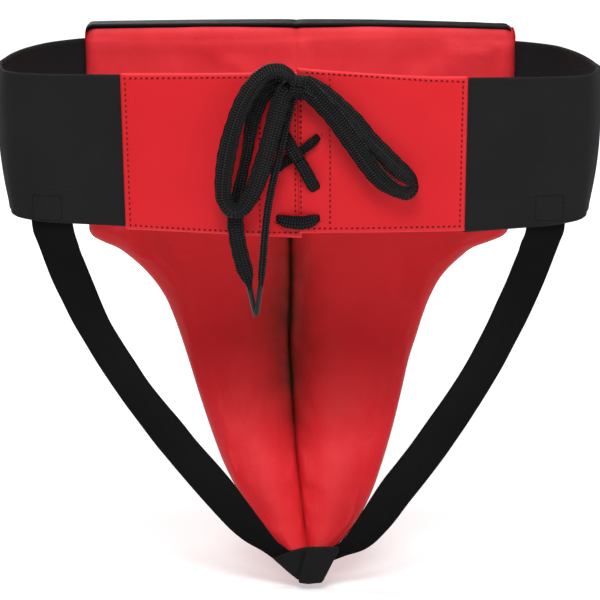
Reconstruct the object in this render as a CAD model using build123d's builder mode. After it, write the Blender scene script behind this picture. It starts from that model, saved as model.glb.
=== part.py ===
from build123d import *
from collections import namedtuple
import math
import os

# Groin protector: padded front guard, elastic waistband, laced back closure,
# two leg straps sewn to a crotch tab.
# Frame: origin at the middle of the waist opening, half way up the waistband.
# +Z up, +Y towards the wearer's front (the guard), -Y towards the lacing,
# +X towards the wearer's right. All lengths in millimetres.

# ---------------------------------------------------------------- dimensions
skin = 1.2                  # coated cover sheet
gap = 0.15                  # clearance between nested layers of the guard
half_seam = 0.1             # each guard half stops this far from the centre
cut_depth = 170.0           # reach each way of the blocks that trim the guard

band_height = 79.0          # waist elastic
band_thickness = 1.8
band_rise = 10.4            # the waistband rides up from the back to the guard
rise_overrun = 1.22         # its edges are drawn on past the rise by this factor
rise_start_y, rise_end_y = -36.0, 100.0
band_back_y = -60.0         # beyond the rearmost part of the band
band_slot_clearance = 0.3

# ------------------------------------------------------------- guard surface
# z, y of the inner face on the centre line, cosine of its slope, thickness,
# swell of the outer face over the cup, dome of the cup
Station = namedtuple("Station", "z y cosine thickness bulge dome")
GUARD = [Station(*row) for row in (
    (56.0, 86.0, 1.0, 22.0, 0.0, 0.0),
    (20.0, 87.0, 1.0, 22.5, 0.0, 0.0),
    (-15.0, 88.0, 1.0, 23.0, 0.5, 0.0),
    (-50.0, 87.0, 0.99, 23.5, 4.0, 2.0),
    (-85.0, 80.5, 0.96, 23.5, 9.5, 6.5),
    (-120.0, 67.5, 0.91, 22.5, 11.5, 8.5),
    (-150.0, 52.0, 0.86, 21.0, 9.0, 7.0),
    (-178.0, 34.5, 0.83, 18.0, 4.5, 3.0),
    (-202.0, 18.5, 0.82, 13.0, 1.0, 0.5),
    (-222.0, 5.0, 0.82, 8.5, 0.0, 0.0),
)]
guard_top, guard_bottom = GUARD[0].z, GUARD[-1].z
SECTIONS_X = (-126.0, -84.0, -42.0, 0.0, 42.0, 84.0, 126.0)
side_sag, sag_at = 11.0, 118.0      # at x = sag_at the guard is this much nearer the wearer
bulge_half_width = 78.0
dome_half_width = 60.0

# outline of the right half of the guard (x, z), top to tip
OUTLINE = [
    (0.0, guard_top), (108.0, guard_top), (114.5, 53.0), (117.5, 46.0),
    (117.8, 0.0), (117.4, -52.0), (116.0, -59.5), (110.5, -63.0),
    (101.0, -66.5), (92.0, -72.0), (84.5, -79.5), (77.5, -89.0),
    (70.5, -102.0), (65.5, -115.0), (60.0, -130.0), (54.5, -148.0),
    (48.0, -168.0), (41.5, -183.0), (33.0, -198.0), (24.0, -211.0),
    (15.0, -219.5), (9.0, guard_bottom), (0.0, guard_bottom),
]


def inner_y(station, x):
    return station.y - side_sag * (x / sag_at) ** 2


def swell(x, half_width):
    u = min(1.0, abs(x) / half_width)
    return (1.0 - u * u) ** 2


# Each face gives y at a station and an x; depth is measured square to the inner face.
def from_inner(station, x, depth):
    return inner_y(station, x) + depth / station.cosine


def from_outer(station, x, depth):
    # depth runs inwards from the outer face, which swells out over the cup
    outer = station.thickness + station.bulge * swell(x, bulge_half_width)
    return inner_y(station, x) + (outer - depth) / station.cosine


def cup_face(station, x, depth):
    dome = station.dome * swell(x, dome_half_width)
    return inner_y(station, x) + (depth + dome) / station.cosine


# ------------------------------------------------------------ outline helpers
def inset(distance, top=0.0):
    # the outline moved in along its own normals, and down by top at its top edge
    points = [(0.0, guard_top - top)]
    for i in range(1, len(OUTLINE) - 1):
        x, z = OUTLINE[i]
        (x_before, z_before), (x_after, z_after) = OUTLINE[i - 1], OUTLINE[i + 1]
        dx, dz = x_after - x_before, z_after - z_before
        length = math.hypot(dx, dz)
        new_x = x + dz / length * distance
        new_z = z - dx / length * distance
        if i == 1:
            new_x, new_z = x - distance * 0.4, z - top
        elif i == 2:
            new_x, new_z = x - distance, z - max(top, distance * 0.5)
        points.append((max(new_x, 0.5), max(new_z, guard_bottom + distance)))
    points.append((0.0, guard_bottom + distance))
    return points


def left_half(points, seam):
    # the left half as a closed ring, stopped short of the centre line
    ring = [(-max(x, seam), z) for x, z in points]
    return ring + [ring[0]]


def whole(points):
    # a right half joined to its mirror image as a closed ring
    left = [(-x, z) for x, z in reversed(points) if x > 0]
    return points + left + [points[0]]


# -------------------------------------------------------- shared solid shapes
def facing_back(x=0.0, y=0.0, z=0.0):
    # an upright plane drawn in (x, z) whose normal is -Y
    return Plane(origin=(x, y, z), x_dir=(1, 0, 0), z_dir=(0, -1, 0))


def mirrored(part):
    with BuildPart() as twin:
        add(mirror(part, about=Plane.YZ, mode=Mode.PRIVATE))
    return twin.part


def layer(near_face, near_depth, far_face, far_depth):
    # the space between two faces of the guard, lofted across its width
    with BuildPart() as space:
        for x in SECTIONS_X:
            near_points = [(near_face(s, x, near_depth), s.z) for s in GUARD]
            far_points = [(far_face(s, x, far_depth), s.z) for s in reversed(GUARD)]
            with BuildSketch(Plane.YZ.offset(x)):
                with BuildLine():
                    near = Spline(*near_points)
                    far = Spline(*far_points)
                    Line(near @ 1, far @ 0)
                    Line(far @ 1, near @ 0)
                make_face()
        loft()
    return space.part


def prism(ring):
    # an (x, z) outline carried right through the guard
    with BuildPart() as block:
        with BuildSketch(facing_back()):
            with BuildLine():
                Polyline(*ring)
            make_face()
        extrude(amount=cut_depth, both=True)
    return block.part


# ======================================================== back panels: layout
panel_radius = 600.0        # the back panels lie on a gentle arc
panel_back_y = -48.0
panel_centre_y = panel_radius + panel_back_y
panel_edge_x = 88.0
panel_seam_x = 0.4
panel_outer_top, panel_outer_bottom = 39.6, -39.4
panel_inner_top, panel_inner_bottom = 43.2, -42.4
core_end_x = 78.0           # the core stops before the elastic's end
core_inset = 1.0
panel_gap = 0.2
core_thickness = 2.0
panel_lining_thickness = 1.1
core_depth = skin + panel_gap                   # depths in from the panels' back face
panel_lining_depth = core_depth + core_thickness + panel_gap

eyelet_x = 10.5
eyelet_rows = (-34.0, -12.5, 9.5, 31.0)
eyelet_r = 2.75

# outlines of the right panel and its core (x, z)
PANEL = [
    (panel_seam_x, panel_inner_bottom), (panel_seam_x, panel_inner_top),
    (45.0, 41.4), (panel_edge_x, panel_outer_top), (panel_edge_x, panel_outer_bottom),
    (45.0, -41.0), (panel_seam_x, panel_inner_bottom),
]
core_seam_x = panel_seam_x + 0.8
CORE = [
    (core_seam_x, panel_inner_bottom + core_inset), (core_seam_x, panel_inner_top - core_inset),
    (45.0, 40.4), (core_end_x, 39.2), (core_end_x, -39.0),
    (45.0, -40.0), (core_seam_x, panel_inner_bottom + core_inset),
]


def arc_y(radius, x):
    return panel_centre_y - math.sqrt(radius ** 2 - x ** 2)


# ============================================================ waist elastics
# middle line of the right elastic in plan (x, y), from inside the guard's side
# seam round the hip to the back panel
BAND = [
    (104.0, 90.5), (118.5, 84.5), (138.0, 66.5), (150.5, 43.0), (157.5, 19.0),
    (157.5, 0.0), (149.5, -26.0), (142.5, -32.0), (129.0, -36.3), (112.0, -37.7),
    (98.0, -38.3),
]
# its end follows the panels' arc, between their two sheets
band_end_radius = panel_radius - core_depth - core_thickness / 2
BAND += [(x, arc_y(band_end_radius, x)) for x in (88.0, 84.0, 80.0)]


def offset_line(points, distance):
    moved = []
    for i, (x, y) in enumerate(points):
        x_before, y_before = points[max(0, i - 1)]
        x_after, y_after = points[min(len(points) - 1, i + 1)]
        dx, dy = x_after - x_before, y_after - y_before
        length = math.hypot(dx, dy)
        moved.append((x - dy / length * distance, y + dx / length * distance))
    return moved


def waist_elastic(side, clearance=0.0):
    # the band's path in plan, carried up, then trimmed to its rising edges;
    # side is 1 for right and -1 for left, clearance grows it all round
    half_thickness = band_thickness / 2 + clearance
    high = band_height / 2 + clearance
    low = -high
    front_rise = band_rise * rise_overrun
    one_side = [(side * x, y) for x, y in offset_line(BAND, half_thickness)]
    other_side = [(side * x, y) for x, y in offset_line(BAND, -half_thickness)]
    with BuildPart() as band:
        with BuildSketch(Plane.XY.offset(low - 2.0)):
            with BuildLine():
                out = Spline(*one_side)
                back = Spline(*other_side[::-1])
                Line(out @ 1, back @ 0)
                Line(back @ 1, out @ 0)
            make_face()
        extrude(amount=high - low + band_rise + 4.0)
        with BuildSketch(Plane.YZ):
            with BuildLine():
                Polyline((band_back_y, low), (rise_start_y, low),
                         (rise_end_y, low + front_rise), (rise_end_y, high + front_rise),
                         (rise_start_y, high), (band_back_y, high), (band_back_y, low))
            make_face()
        extrude(amount=180.0, both=True, mode=Mode.INTERSECT)
    return band.part


# the elastic's end is sewn into this slot in the guard
seam_slot_left = waist_elastic(-1, band_slot_clearance)


# ===================================================== padded guard: covers
def inner_cover_left():
    with BuildPart() as cover:
        add(layer(from_inner, 0.0, from_inner, skin))
        add(prism(left_half(inset(0.0), half_seam)), mode=Mode.INTERSECT)
    return cover.part


def outer_cover_left():
    # everything inside the cover's face and side wall
    with BuildPart() as inside:
        add(layer(from_inner, -6.0, from_outer, skin))
        add(prism(left_half(inset(skin, -2.0), 0.0)), mode=Mode.INTERSECT)
    # an open tray: the face plus the wall round the side edge
    with BuildPart() as cover:
        add(layer(from_inner, skin + gap, from_outer, 0.0))
        add(prism(left_half(inset(0.0), half_seam)), mode=Mode.INTERSECT)
        add(inside.part, mode=Mode.SUBTRACT)
        add(seam_slot_left, mode=Mode.SUBTRACT)
    return cover.part


# ===================================================== padded guard: inside
lining_near, lining_far = skin + gap, 5.0       # depths from the inner face
cup_near = lining_far + gap
cup_far = cup_near + 2.4
cushion_far = cup_far + 1.0
filling_top = 0.3           # the filling stops this far below the guard's top
recess_clearance = 0.3

vent_widths = (26.0, 26.0, 26.0, 18.0, 18.0, 12.0)      # top to bottom
vent_height = 5.0
vent_top_z = -84.0
vent_pitch = 14.0

# right halves (x, z), top to bottom: cup, cushion outside, cushion inside
CUP = [
    (0.0, -62.0), (26.0, -63.0), (39.0, -68.5), (44.5, -78.0), (45.0, -92.0),
    (42.5, -110.0), (38.0, -130.0), (31.5, -150.0), (23.5, -168.0),
    (14.0, -181.0), (6.0, -186.5), (0.0, -187.5),
]
CUSHION = [
    (0.0, -55.5), (28.0, -56.5), (44.0, -63.0), (51.0, -76.0), (51.5, -92.5),
    (49.0, -111.5), (44.2, -132.5), (37.2, -153.3), (28.4, -172.2),
    (17.0, -187.0), (7.5, -192.8), (0.0, -194.0),
]
CUSHION_IN = [
    (0.0, -61.7), (26.1, -62.7), (39.25, -68.3), (44.8, -77.9), (45.3, -92.05),
    (42.8, -110.05), (38.3, -130.1), (31.8, -150.2), (23.7, -168.25),
    (14.15, -181.3), (6.1, -186.8), (0.0, -187.8),
]


def lining_foam():
    with BuildPart() as lining:
        add(layer(from_inner, lining_near, from_inner, lining_far))
        add(prism(whole(inset(skin + gap, filling_top))), mode=Mode.INTERSECT)
        add(seam_slot_left, mode=Mode.SUBTRACT)
        add(mirror(seam_slot_left, about=Plane.YZ, mode=Mode.PRIVATE), mode=Mode.SUBTRACT)
    return lining.part


def hard_cup():
    with BuildPart() as cup:
        add(layer(cup_face, cup_near, cup_face, cup_far))
        add(prism(whole(CUP)), mode=Mode.INTERSECT)
        # vent slots through the shell
        with BuildSketch(facing_back()):
            for row, width in enumerate(vent_widths):
                with Locations((0.0, vent_top_z - row * vent_pitch)):
                    SlotOverall(width, vent_height)
        extrude(amount=cut_depth, both=True, mode=Mode.SUBTRACT)
    return cup.part


def cup_rim_cushion():
    with BuildPart() as cushion:
        add(layer(cup_face, cup_near, cup_face, cushion_far))
        add(prism(whole(CUSHION)), mode=Mode.INTERSECT)
        add(prism(whole(CUSHION_IN)), mode=Mode.SUBTRACT)
    return cushion.part


def recess_point(x, z):
    # a cushion point moved out, up near the top and down near the bottom
    if x > 0:
        x += recess_clearance
    if z > -80.0:
        z += recess_clearance
    elif z < -150.0:
        z -= recess_clearance
    return x, z


def foam_block_left():
    # the recess that takes the cup and its cushion
    with BuildPart() as recess:
        add(layer(from_inner, lining_far - 1.0, cup_face, cushion_far + gap))
        add(prism(whole([recess_point(x, z) for x, z in CUSHION])), mode=Mode.INTERSECT)
    with BuildPart() as block:
        add(layer(from_inner, lining_far + gap, from_outer, skin + gap))
        add(prism(left_half(inset(skin + gap, filling_top), half_seam)), mode=Mode.INTERSECT)
        add(recess.part, mode=Mode.SUBTRACT)
        add(seam_slot_left, mode=Mode.SUBTRACT)
    return block.part


# ================================================= padded guard: top binding
# half outline of the block that trims the binding's ends (x, z)
BINDING_ENDS = [(115.0, 40.0), (115.0, 52.0), (110.0, 70.0)]


def binding_layer(near, far, low, high):
    # a strip along the guard's top edge, near and far measured from its inner face
    with BuildPart() as strip:
        for x in SECTIONS_X:
            y = inner_y(GUARD[0], x)
            with BuildSketch(Plane.YZ.offset(x)):
                with BuildLine():
                    Polyline((y + near, low), (y + near, high), (y + far, high),
                             (y + far, low), (y + near, low))
                make_face()
        loft()
    return strip.part


def top_binding():
    # a strip capping the top edge, with a short lip inside and a long one outside
    cap_thickness, short_lip, long_lip = 1.6, 0.8, 8.0
    outer = GUARD[0].thickness
    cap_far = outer + 1.4
    with BuildPart() as binding:
        add(binding_layer(-0.9, cap_far, guard_top - short_lip, guard_top + cap_thickness))
        add(binding_layer(outer + 0.2, cap_far, guard_top - long_lip, guard_top))
        # room for the guard's edge
        add(binding_layer(-0.15, outer + 0.6, guard_top - long_lip - 2.0, guard_top + gap),
            mode=Mode.SUBTRACT)
        add(prism(whole(BINDING_ENDS)), mode=Mode.INTERSECT)
    return binding.part


# =============================================== back closure: lacing panels
def panel_sheet(depth, thickness, ring):
    # a right-hand sheet on the panels' arc, trimmed to an (x, z) outline and
    # pierced by the eyelets; depth is measured in from the back face
    far_radius = panel_radius - depth
    near_radius = far_radius - thickness
    through = 120.0
    with BuildPart() as sheet:
        with BuildSketch(Plane.XY.offset(-50.0)):
            with BuildLine():
                far = ThreePointArc(*[(x, arc_y(far_radius, x)) for x in (-4.0, 50.0, 100.0)])
                near = ThreePointArc(*[(x, arc_y(near_radius, x)) for x in (-4.0, 50.0, 100.0)])
                Line(far @ 0, near @ 0)
                Line(far @ 1, near @ 1)
            make_face()
        extrude(amount=100.0)
        with BuildSketch(facing_back()):
            with BuildLine():
                Polyline(*ring)
            make_face()
        extrude(amount=through, both=True, mode=Mode.INTERSECT)
        with BuildSketch(facing_back()):
            with Locations(*[(eyelet_x, z) for z in eyelet_rows]):
                Circle(eyelet_r)
        extrude(amount=through, both=True, mode=Mode.SUBTRACT)
    return sheet.part


# ====================================================================== lace
lace_width = 7.3
lace_thickness = 1.6
lace_leg_r = 2.1            # the lace bunched up in an eyelet
leg_overrun = 0.4           # each leg runs this far past its strands' middles
under_y = -49.1             # strands lying on the panels
over_y = -50.9              # strands crossing over those
inside_y = -42.2            # strands on the wearer's side of the panels
innermost_y = -40.4

# eyelets (x, z), bottom to top
LEFT = [(-eyelet_x, z) for z in eyelet_rows]
RIGHT = [(eyelet_x, z) for z in eyelet_rows]
# start, end, y: the bottom bar, three crossings, the two short runs to the knot
STRANDS = [
    (LEFT[0], RIGHT[0], under_y),
    (LEFT[0], RIGHT[1], inside_y), (RIGHT[0], LEFT[1], innermost_y),
    (LEFT[1], RIGHT[2], under_y), (RIGHT[1], LEFT[2], over_y),
    (LEFT[2], RIGHT[3], inside_y), (RIGHT[2], LEFT[3], innermost_y),
    (LEFT[3], (-4.5, 34.5), under_y), (RIGHT[3], (3.5, 34.5), under_y),
]
# eyelet, y at the back, y at the front of the lace bunched in it
LEGS = [
    (LEFT[0], under_y, inside_y), (RIGHT[0], under_y, innermost_y),
    (LEFT[1], under_y, innermost_y), (RIGHT[1], over_y, inside_y),
    (LEFT[2], over_y, inside_y), (RIGHT[2], under_y, innermost_y),
    (LEFT[3], under_y, innermost_y), (RIGHT[3], under_y, inside_y),
]


def lace_crossings():
    with BuildPart() as lace:
        for (x, z), (end_x, end_z), y in STRANDS:
            run = Vector(end_x - x, 0, end_z - z)
            across = Vector(run.Z, 0, -run.X)
            with BuildSketch(Plane(origin=(x, y, z), x_dir=across, z_dir=run)):
                SlotOverall(lace_width, lace_thickness)
            extrude(amount=run.length)
        for (x, z), back_y, front_y in LEGS:
            start = (x, back_y - leg_overrun, z)
            with BuildSketch(Plane(origin=start, x_dir=(1, 0, 0), z_dir=(0, 1, 0))):
                Circle(lace_leg_r)
            extrude(amount=front_y - back_y + 2 * leg_overrun)
    return lace.part


def lace_knot():
    # a flat two-lobed turn with the bow's rounded middle standing out from it
    knot_place = (-0.8, -50.3, 36.0)
    with BuildPart() as knot:
        with BuildSketch(facing_back(*knot_place)):
            SlotOverall(13.5, 6.6)
        extrude(amount=2.6)
        with BuildSketch(facing_back(*knot_place)):
            RectangleRounded(7.6, 8.6, 2.6)
        extrude(amount=10.0)
        fillet(knot.faces().sort_by(Axis.Y)[0].edges(), radius=2.0)
    return knot.part


# ------------------------------------------------------------------ bow loops
loop_y = -58.9
# rim and hole of each loop (x, z)
LEFT_RIM = [
    (-8.2, 46.6), (-14.0, 46.0), (-23.9, 39.5), (-28.9, 31.0), (-33.5, 23.4),
    (-37.0, 15.9), (-39.6, 8.4), (-41.6, 0.8), (-43.1, -6.7), (-43.6, -14.3),
    (-43.1, -21.9), (-40.5, -28.5), (-34.5, -32.0), (-27.5, -30.0), (-22.3, -24.0),
    (-18.0, -15.0), (-14.5, -4.0), (-11.5, 8.0), (-9.3, 20.0), (-8.2, 30.0),
]
LEFT_HOLE = [
    (-14.6, 36.0), (-21.0, 30.0), (-25.5, 20.0), (-29.0, 8.0), (-31.6, -4.0),
    (-33.4, -14.0), (-33.2, -20.5), (-30.6, -22.0), (-27.4, -17.0), (-24.2, -6.0),
    (-21.2, 6.0), (-18.2, 19.0), (-15.6, 29.0),
]
RIGHT_RIM = [
    (6.7, 39.5), (12.0, 36.0), (18.3, 31.0), (25.9, 23.4), (32.5, 15.9),
    (40.6, 8.4), (48.7, 0.8), (55.8, -6.7), (59.6, -12.5), (59.4, -18.5),
    (53.8, -21.9), (45.0, -19.5), (38.0, -14.3), (31.0, -6.7), (25.6, 0.8),
    (19.2, 8.8), (12.7, 17.5), (6.7, 26.0),
]
RIGHT_HOLE = [
    (18.4, 22.6), (30.0, 11.6), (42.0, -0.6), (50.6, -10.6), (50.0, -12.6),
    (46.6, -11.6), (37.8, -1.6), (27.8, 9.4), (17.6, 20.6),
]


def bow_loop(rim_points, hole_points):
    # a loop pressed flat, open between its two strands
    with BuildPart() as loop:
        with BuildSketch(facing_back(y=loop_y + lace_thickness / 2)):
            with BuildLine():
                rim = Spline(*rim_points)
                Line(rim @ 1, rim @ 0)
            make_face()
            with BuildLine():
                hole = Spline(*hole_points)
                Line(hole @ 1, hole @ 0)
            make_face(mode=Mode.SUBTRACT)
        extrude(amount=lace_thickness)
    return loop.part


# ------------------------------------------------------- lace ends and aglets
free_width = 8.0            # the lace lies flatter and wider once it is free
tail_r = 1.0
aglet_r, aglet_bore_r = 1.5, 1.15
aglet_length = 16.0
end_y_left, end_y_right = -53.2, -56.3
tail_run_left = (3.6, 0, -16.0)         # directions of the narrowed tails
tail_run_right = (-2.6, 0, -17.0)

# middle lines of the free ends (x, z), from the knot down
LEFT_END = [
    (-2.5, 27.0), (-12.0, 22.0), (-20.5, 14.0), (-26.5, 2.0), (-30.0, -10.0),
    (-31.5, -22.0), (-31.3, -34.0), (-30.0, -48.0), (-27.4, -59.5), (-25.6, -65.0),
]
RIGHT_END = [
    (-2.5, 27.0), (-6.0, 15.0), (-9.7, -1.0), (-13.3, -13.0), (-16.0, -28.0),
    (-17.4, -46.0), (-18.9, -63.0),
]


def across_tail(start, run):
    return Plane(origin=start, x_dir=(0, 1, 0), z_dir=run)


def lace_end(points, y, tail_x, tail_z, run, tail_length):
    with BuildPart() as end:
        with BuildSketch(facing_back(y=y + lace_thickness / 2)):
            with BuildLine():
                Spline(*points)
            trace(line_width=free_width)
        extrude(amount=lace_thickness)
        # the narrowed tail held in the aglet
        with BuildSketch(across_tail((tail_x, y, tail_z), run)):
            Circle(tail_r)
        extrude(amount=tail_length)
    return end.part


def aglet(start, run):
    # a tube round the tail of the lace
    with BuildPart() as tube:
        with BuildSketch(across_tail(start, run)):
            Circle(aglet_r)
            Circle(aglet_bore_r, mode=Mode.SUBTRACT)
        extrude(amount=aglet_length)
    return tube.part


# ================================================================ leg straps
strap_width = 20.0
strap_thickness = 1.6
top_turn, added_turn = 7.5, 25.0    # degrees the webbing faces outward
square_station = 10                 # from here on it lies square to the crotch tab

# middle line of the right strap (x, y, z), from the waistband to the crotch tab
STRAP = [
    (124.5, -33.3, -22.0), (124.5, -33.1, -40.0), (122.5, -32.3, -51.0),
    (115.5, -30.0, -72.7), (106.0, -26.2, -94.6), (94.6, -21.4, -116.8),
    (81.0, -15.8, -139.3), (65.4, -9.8, -162.0), (48.4, -3.8, -185.0),
    (31.5, 1.0, -206.5), (19.5, 3.0, -219.5), (11.5, 3.0, -227.0),
]


def strap_section(i):
    # the webbing lies on the waistband at the top, turns outward on its way
    # down and comes square into the crotch tab
    if i > 1:
        before = Vector(*STRAP[i - 1])
        after = Vector(*STRAP[min(len(STRAP) - 1, i + 1)])
        along = (after - before).normalized()
    else:
        along = Vector(0, 0, -1)
    outward = top_turn + added_turn * min(1.0, max(0, i - 1) / 4.0)
    fade = min(1.0, (square_station - min(i, square_station)) / 3.0)
    turn = math.radians(outward) * fade
    normal = Vector(math.sin(turn), -math.cos(turn), 0)
    if i >= square_station:
        along = Vector(along.X, 0, along.Z).normalized()
    normal = (normal - along * normal.dot(along)).normalized()
    return Plane(origin=STRAP[i], x_dir=normal.cross(along), z_dir=along)


def leg_strap_right():
    with BuildPart() as strap:
        for i in range(len(STRAP)):
            with BuildSketch(strap_section(i)):
                Rectangle(strap_width, strap_thickness)
        loft()
    return strap.part


# =============================================================== crotch tab
tab_front_y, tab_depth = 8.0, 8.0
pocket_front_y, pocket_depth = 4.6, 3.2
# right halves (x, z), top to bottom
TAB = [(21.0, -222.3), (17.0, -232.0), (12.0, -238.5)]
TAB_POCKET = [(30.0, -210.0), (30.0, -236.6)]


def crotch_tab():
    # webbing folded up from below, its two plies round the strap ends
    with BuildPart() as tab:
        with BuildSketch(facing_back(y=tab_front_y)):
            with BuildLine():
                Polyline(*whole(TAB))
            make_face()
        extrude(amount=tab_depth)
        with BuildSketch(facing_back(y=pocket_front_y)):
            with BuildLine():
                Polyline(*whole(TAB_POCKET))
            make_face()
        extrude(amount=pocket_depth, mode=Mode.SUBTRACT)
    return tab.part


# ==================================================================== export
def save(name, part):
    part.label = name
    export_step(part, f"parts/{name}.step")


def save_pair(name, part, side, other_side):
    # a piece built on one side, and its mirror image on the other
    save(f"{name}_{side}", part)
    save(f"{name}_{other_side}", mirrored(part))


os.makedirs("parts", exist_ok=True)

save_pair("inner_cover", inner_cover_left(), "left", "right")
save_pair("outer_cover", outer_cover_left(), "left", "right")
save("lining_foam", lining_foam())
save("hard_cup", hard_cup())
save("cup_rim_cushion", cup_rim_cushion())
save_pair("foam_block", foam_block_left(), "left", "right")
save("top_binding", top_binding())

save("waist_elastic_left", waist_elastic(-1))
save("waist_elastic_right", waist_elastic(1))

for name, depth, thickness, ring in (
    ("lace_panel", 0.0, skin, PANEL),
    ("panel_core", core_depth, core_thickness, CORE),
    ("panel_lining", panel_lining_depth, panel_lining_thickness, PANEL),
):
    save_pair(name, panel_sheet(depth, thickness, ring), "right", "left")

save("lace_crossings", lace_crossings())
save("lace_knot", lace_knot())
save("bow_loop_left", bow_loop(LEFT_RIM, LEFT_HOLE))
save("bow_loop_right", bow_loop(RIGHT_RIM, RIGHT_HOLE))
save("lace_end_left", lace_end(LEFT_END, end_y_left, -25.75, -64.2, tail_run_left, 16.0))
save("lace_end_right", lace_end(RIGHT_END, end_y_right, -18.85, -62.2, tail_run_right, 16.5))
save("aglet_left", aglet((-25.07, end_y_left, -67.2), tail_run_left))
save("aglet_right", aglet((-19.2, end_y_right, -64.5), tail_run_right))

save_pair("leg_strap", leg_strap_right(), "right", "left")
save("crotch_tab", crotch_tab())
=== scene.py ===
# A red padded groin guard on a waist elastic, laced shut opposite the pad, with two leg straps.
# +z is up. The pad stands at +y with its inner face towards -y; the lacing panels and bow are
# at -y, nearest the camera. "left" is -x and "right" is +x. Shapes are given in mm.
import math
import random

import bmesh
import bpy
import numpy as np
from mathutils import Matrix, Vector, noise
from mathutils.bvhtree import BVHTree


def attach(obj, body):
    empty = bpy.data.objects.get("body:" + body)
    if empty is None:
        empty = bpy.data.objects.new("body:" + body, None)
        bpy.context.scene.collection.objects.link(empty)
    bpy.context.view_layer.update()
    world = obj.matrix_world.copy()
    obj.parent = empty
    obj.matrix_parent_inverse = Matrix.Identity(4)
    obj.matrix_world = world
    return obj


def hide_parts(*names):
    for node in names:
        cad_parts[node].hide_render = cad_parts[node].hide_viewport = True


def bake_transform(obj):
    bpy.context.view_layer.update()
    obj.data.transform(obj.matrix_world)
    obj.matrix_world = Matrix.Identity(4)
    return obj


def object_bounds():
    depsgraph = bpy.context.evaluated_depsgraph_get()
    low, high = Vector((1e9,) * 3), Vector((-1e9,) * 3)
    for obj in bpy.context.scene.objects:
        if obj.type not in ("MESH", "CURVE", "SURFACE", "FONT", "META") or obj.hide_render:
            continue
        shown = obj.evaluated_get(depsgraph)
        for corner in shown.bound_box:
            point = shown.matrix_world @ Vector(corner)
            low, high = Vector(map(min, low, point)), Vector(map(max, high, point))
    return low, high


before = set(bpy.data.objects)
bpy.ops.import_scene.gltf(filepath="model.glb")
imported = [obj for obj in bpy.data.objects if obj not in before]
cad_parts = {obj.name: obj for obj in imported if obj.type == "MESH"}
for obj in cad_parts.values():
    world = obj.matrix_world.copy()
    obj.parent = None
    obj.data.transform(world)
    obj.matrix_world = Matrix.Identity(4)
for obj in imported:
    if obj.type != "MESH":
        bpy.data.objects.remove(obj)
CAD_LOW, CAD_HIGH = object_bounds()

random.seed(11)
MM = 0.001
SIDES = ((-1, "left"), (1, "right"))

# ------------------------------------------------------------------ curves and numbers


def bell(value, width, centre=0.0):
    """1 at the centre, falling off smoothly on both sides"""
    return np.exp(-((value - centre) / width) ** 2)


def ramp(value, start, length):
    """0 up to start, then a straight rise to 1 over the length"""
    return np.clip((value - start) / length, 0, 1)


def ease(t):
    return t * t * (3 - 2 * t)


def arch(span, power):
    """0 at both ends of a 0..1 span and 1 between them"""
    return np.sin(np.pi * span ** power)


def signed_power(value, power):
    return math.copysign(abs(value) ** power, value)


def unit(x, y, z):
    length = math.sqrt(x * x + y * y + z * z)
    return (x / length, y / length, z / length)


def fbm(x, y, z, scale, octaves=3):
    place = Vector((x / scale, y / scale, z / scale))
    return noise.fractal(place, 1.0, 2.0, octaves, noise_basis="PERLIN_ORIGINAL")


fbm_grid = np.vectorize(fbm)


def length_of(points):
    return np.linalg.norm(np.diff(np.array(points, float), axis=0), axis=1).sum()


def distances(points):
    """distance along a polyline at each of its points"""
    steps = np.linalg.norm(np.diff(points, axis=0), axis=1)
    return np.concatenate([[0], np.cumsum(steps)])


def spline(points, count):
    """Catmull-Rom through the points: evenly spaced samples and their distances along it"""
    points = np.asarray(points, float)
    knots = np.vstack([2 * points[0] - points[1], points, 2 * points[-1] - points[-2]])
    fine = []
    for p0, p1, p2, p3 in zip(knots, knots[1:], knots[2:], knots[3:]):
        d0 = max(np.linalg.norm(p1 - p0), 1e-6) ** 0.5
        d1 = max(np.linalg.norm(p2 - p1), 1e-6) ** 0.5
        d2 = max(np.linalg.norm(p3 - p2), 1e-6) ** 0.5
        m1 = (p1 - p0) / d0 - (p2 - p0) / (d0 + d1) + (p2 - p1) / d1
        m2 = (p2 - p1) / d1 - (p3 - p1) / (d1 + d2) + (p3 - p2) / d2
        m1 = m1 * d1
        m2 = m2 * d1
        for t in np.linspace(0, 1, 24, endpoint=False):
            fine.append((2 * t ** 3 - 3 * t ** 2 + 1) * p1 + (t ** 3 - 2 * t ** 2 + t) * m1
                        + (-2 * t ** 3 + 3 * t ** 2) * p2 + (t ** 3 - t ** 2) * m2)
    fine.append(knots[-2])
    fine = np.array(fine)
    along = distances(fine)
    samples = np.linspace(0, along[-1], count)
    columns = [np.interp(samples, along, fine[:, k]) for k in range(points.shape[1])]
    return np.stack(columns, 1), samples


def smooth_table(xs, ys):
    """a function that interpolates a table smoothly (xs ascending)"""
    xs = np.asarray(xs, float)
    ys = np.asarray(ys, float)
    slopes = np.gradient(ys, xs)

    def lookup(x):
        x = np.clip(np.asarray(x, float), xs[0], xs[-1])
        i = np.clip(np.searchsorted(xs, x, side="right") - 1, 0, len(xs) - 2)
        step = xs[i + 1] - xs[i]
        t = (x - xs[i]) / step
        return ((2 * t ** 3 - 3 * t ** 2 + 1) * ys[i]
                + (t ** 3 - 2 * t ** 2 + t) * step * slopes[i]
                + (-2 * t ** 3 + 3 * t ** 2) * ys[i + 1]
                + (t ** 3 - t ** 2) * step * slopes[i + 1])
    return lookup


# ------------------------------------------------------------------ mesh tools


def add_object(name, data):
    ob = bpy.data.objects.new(name, data)
    bpy.context.scene.collection.objects.link(ob)
    return ob


def shade_smooth(mesh):
    mesh.polygons.foreach_set("use_smooth", [True] * len(mesh.polygons))


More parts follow.
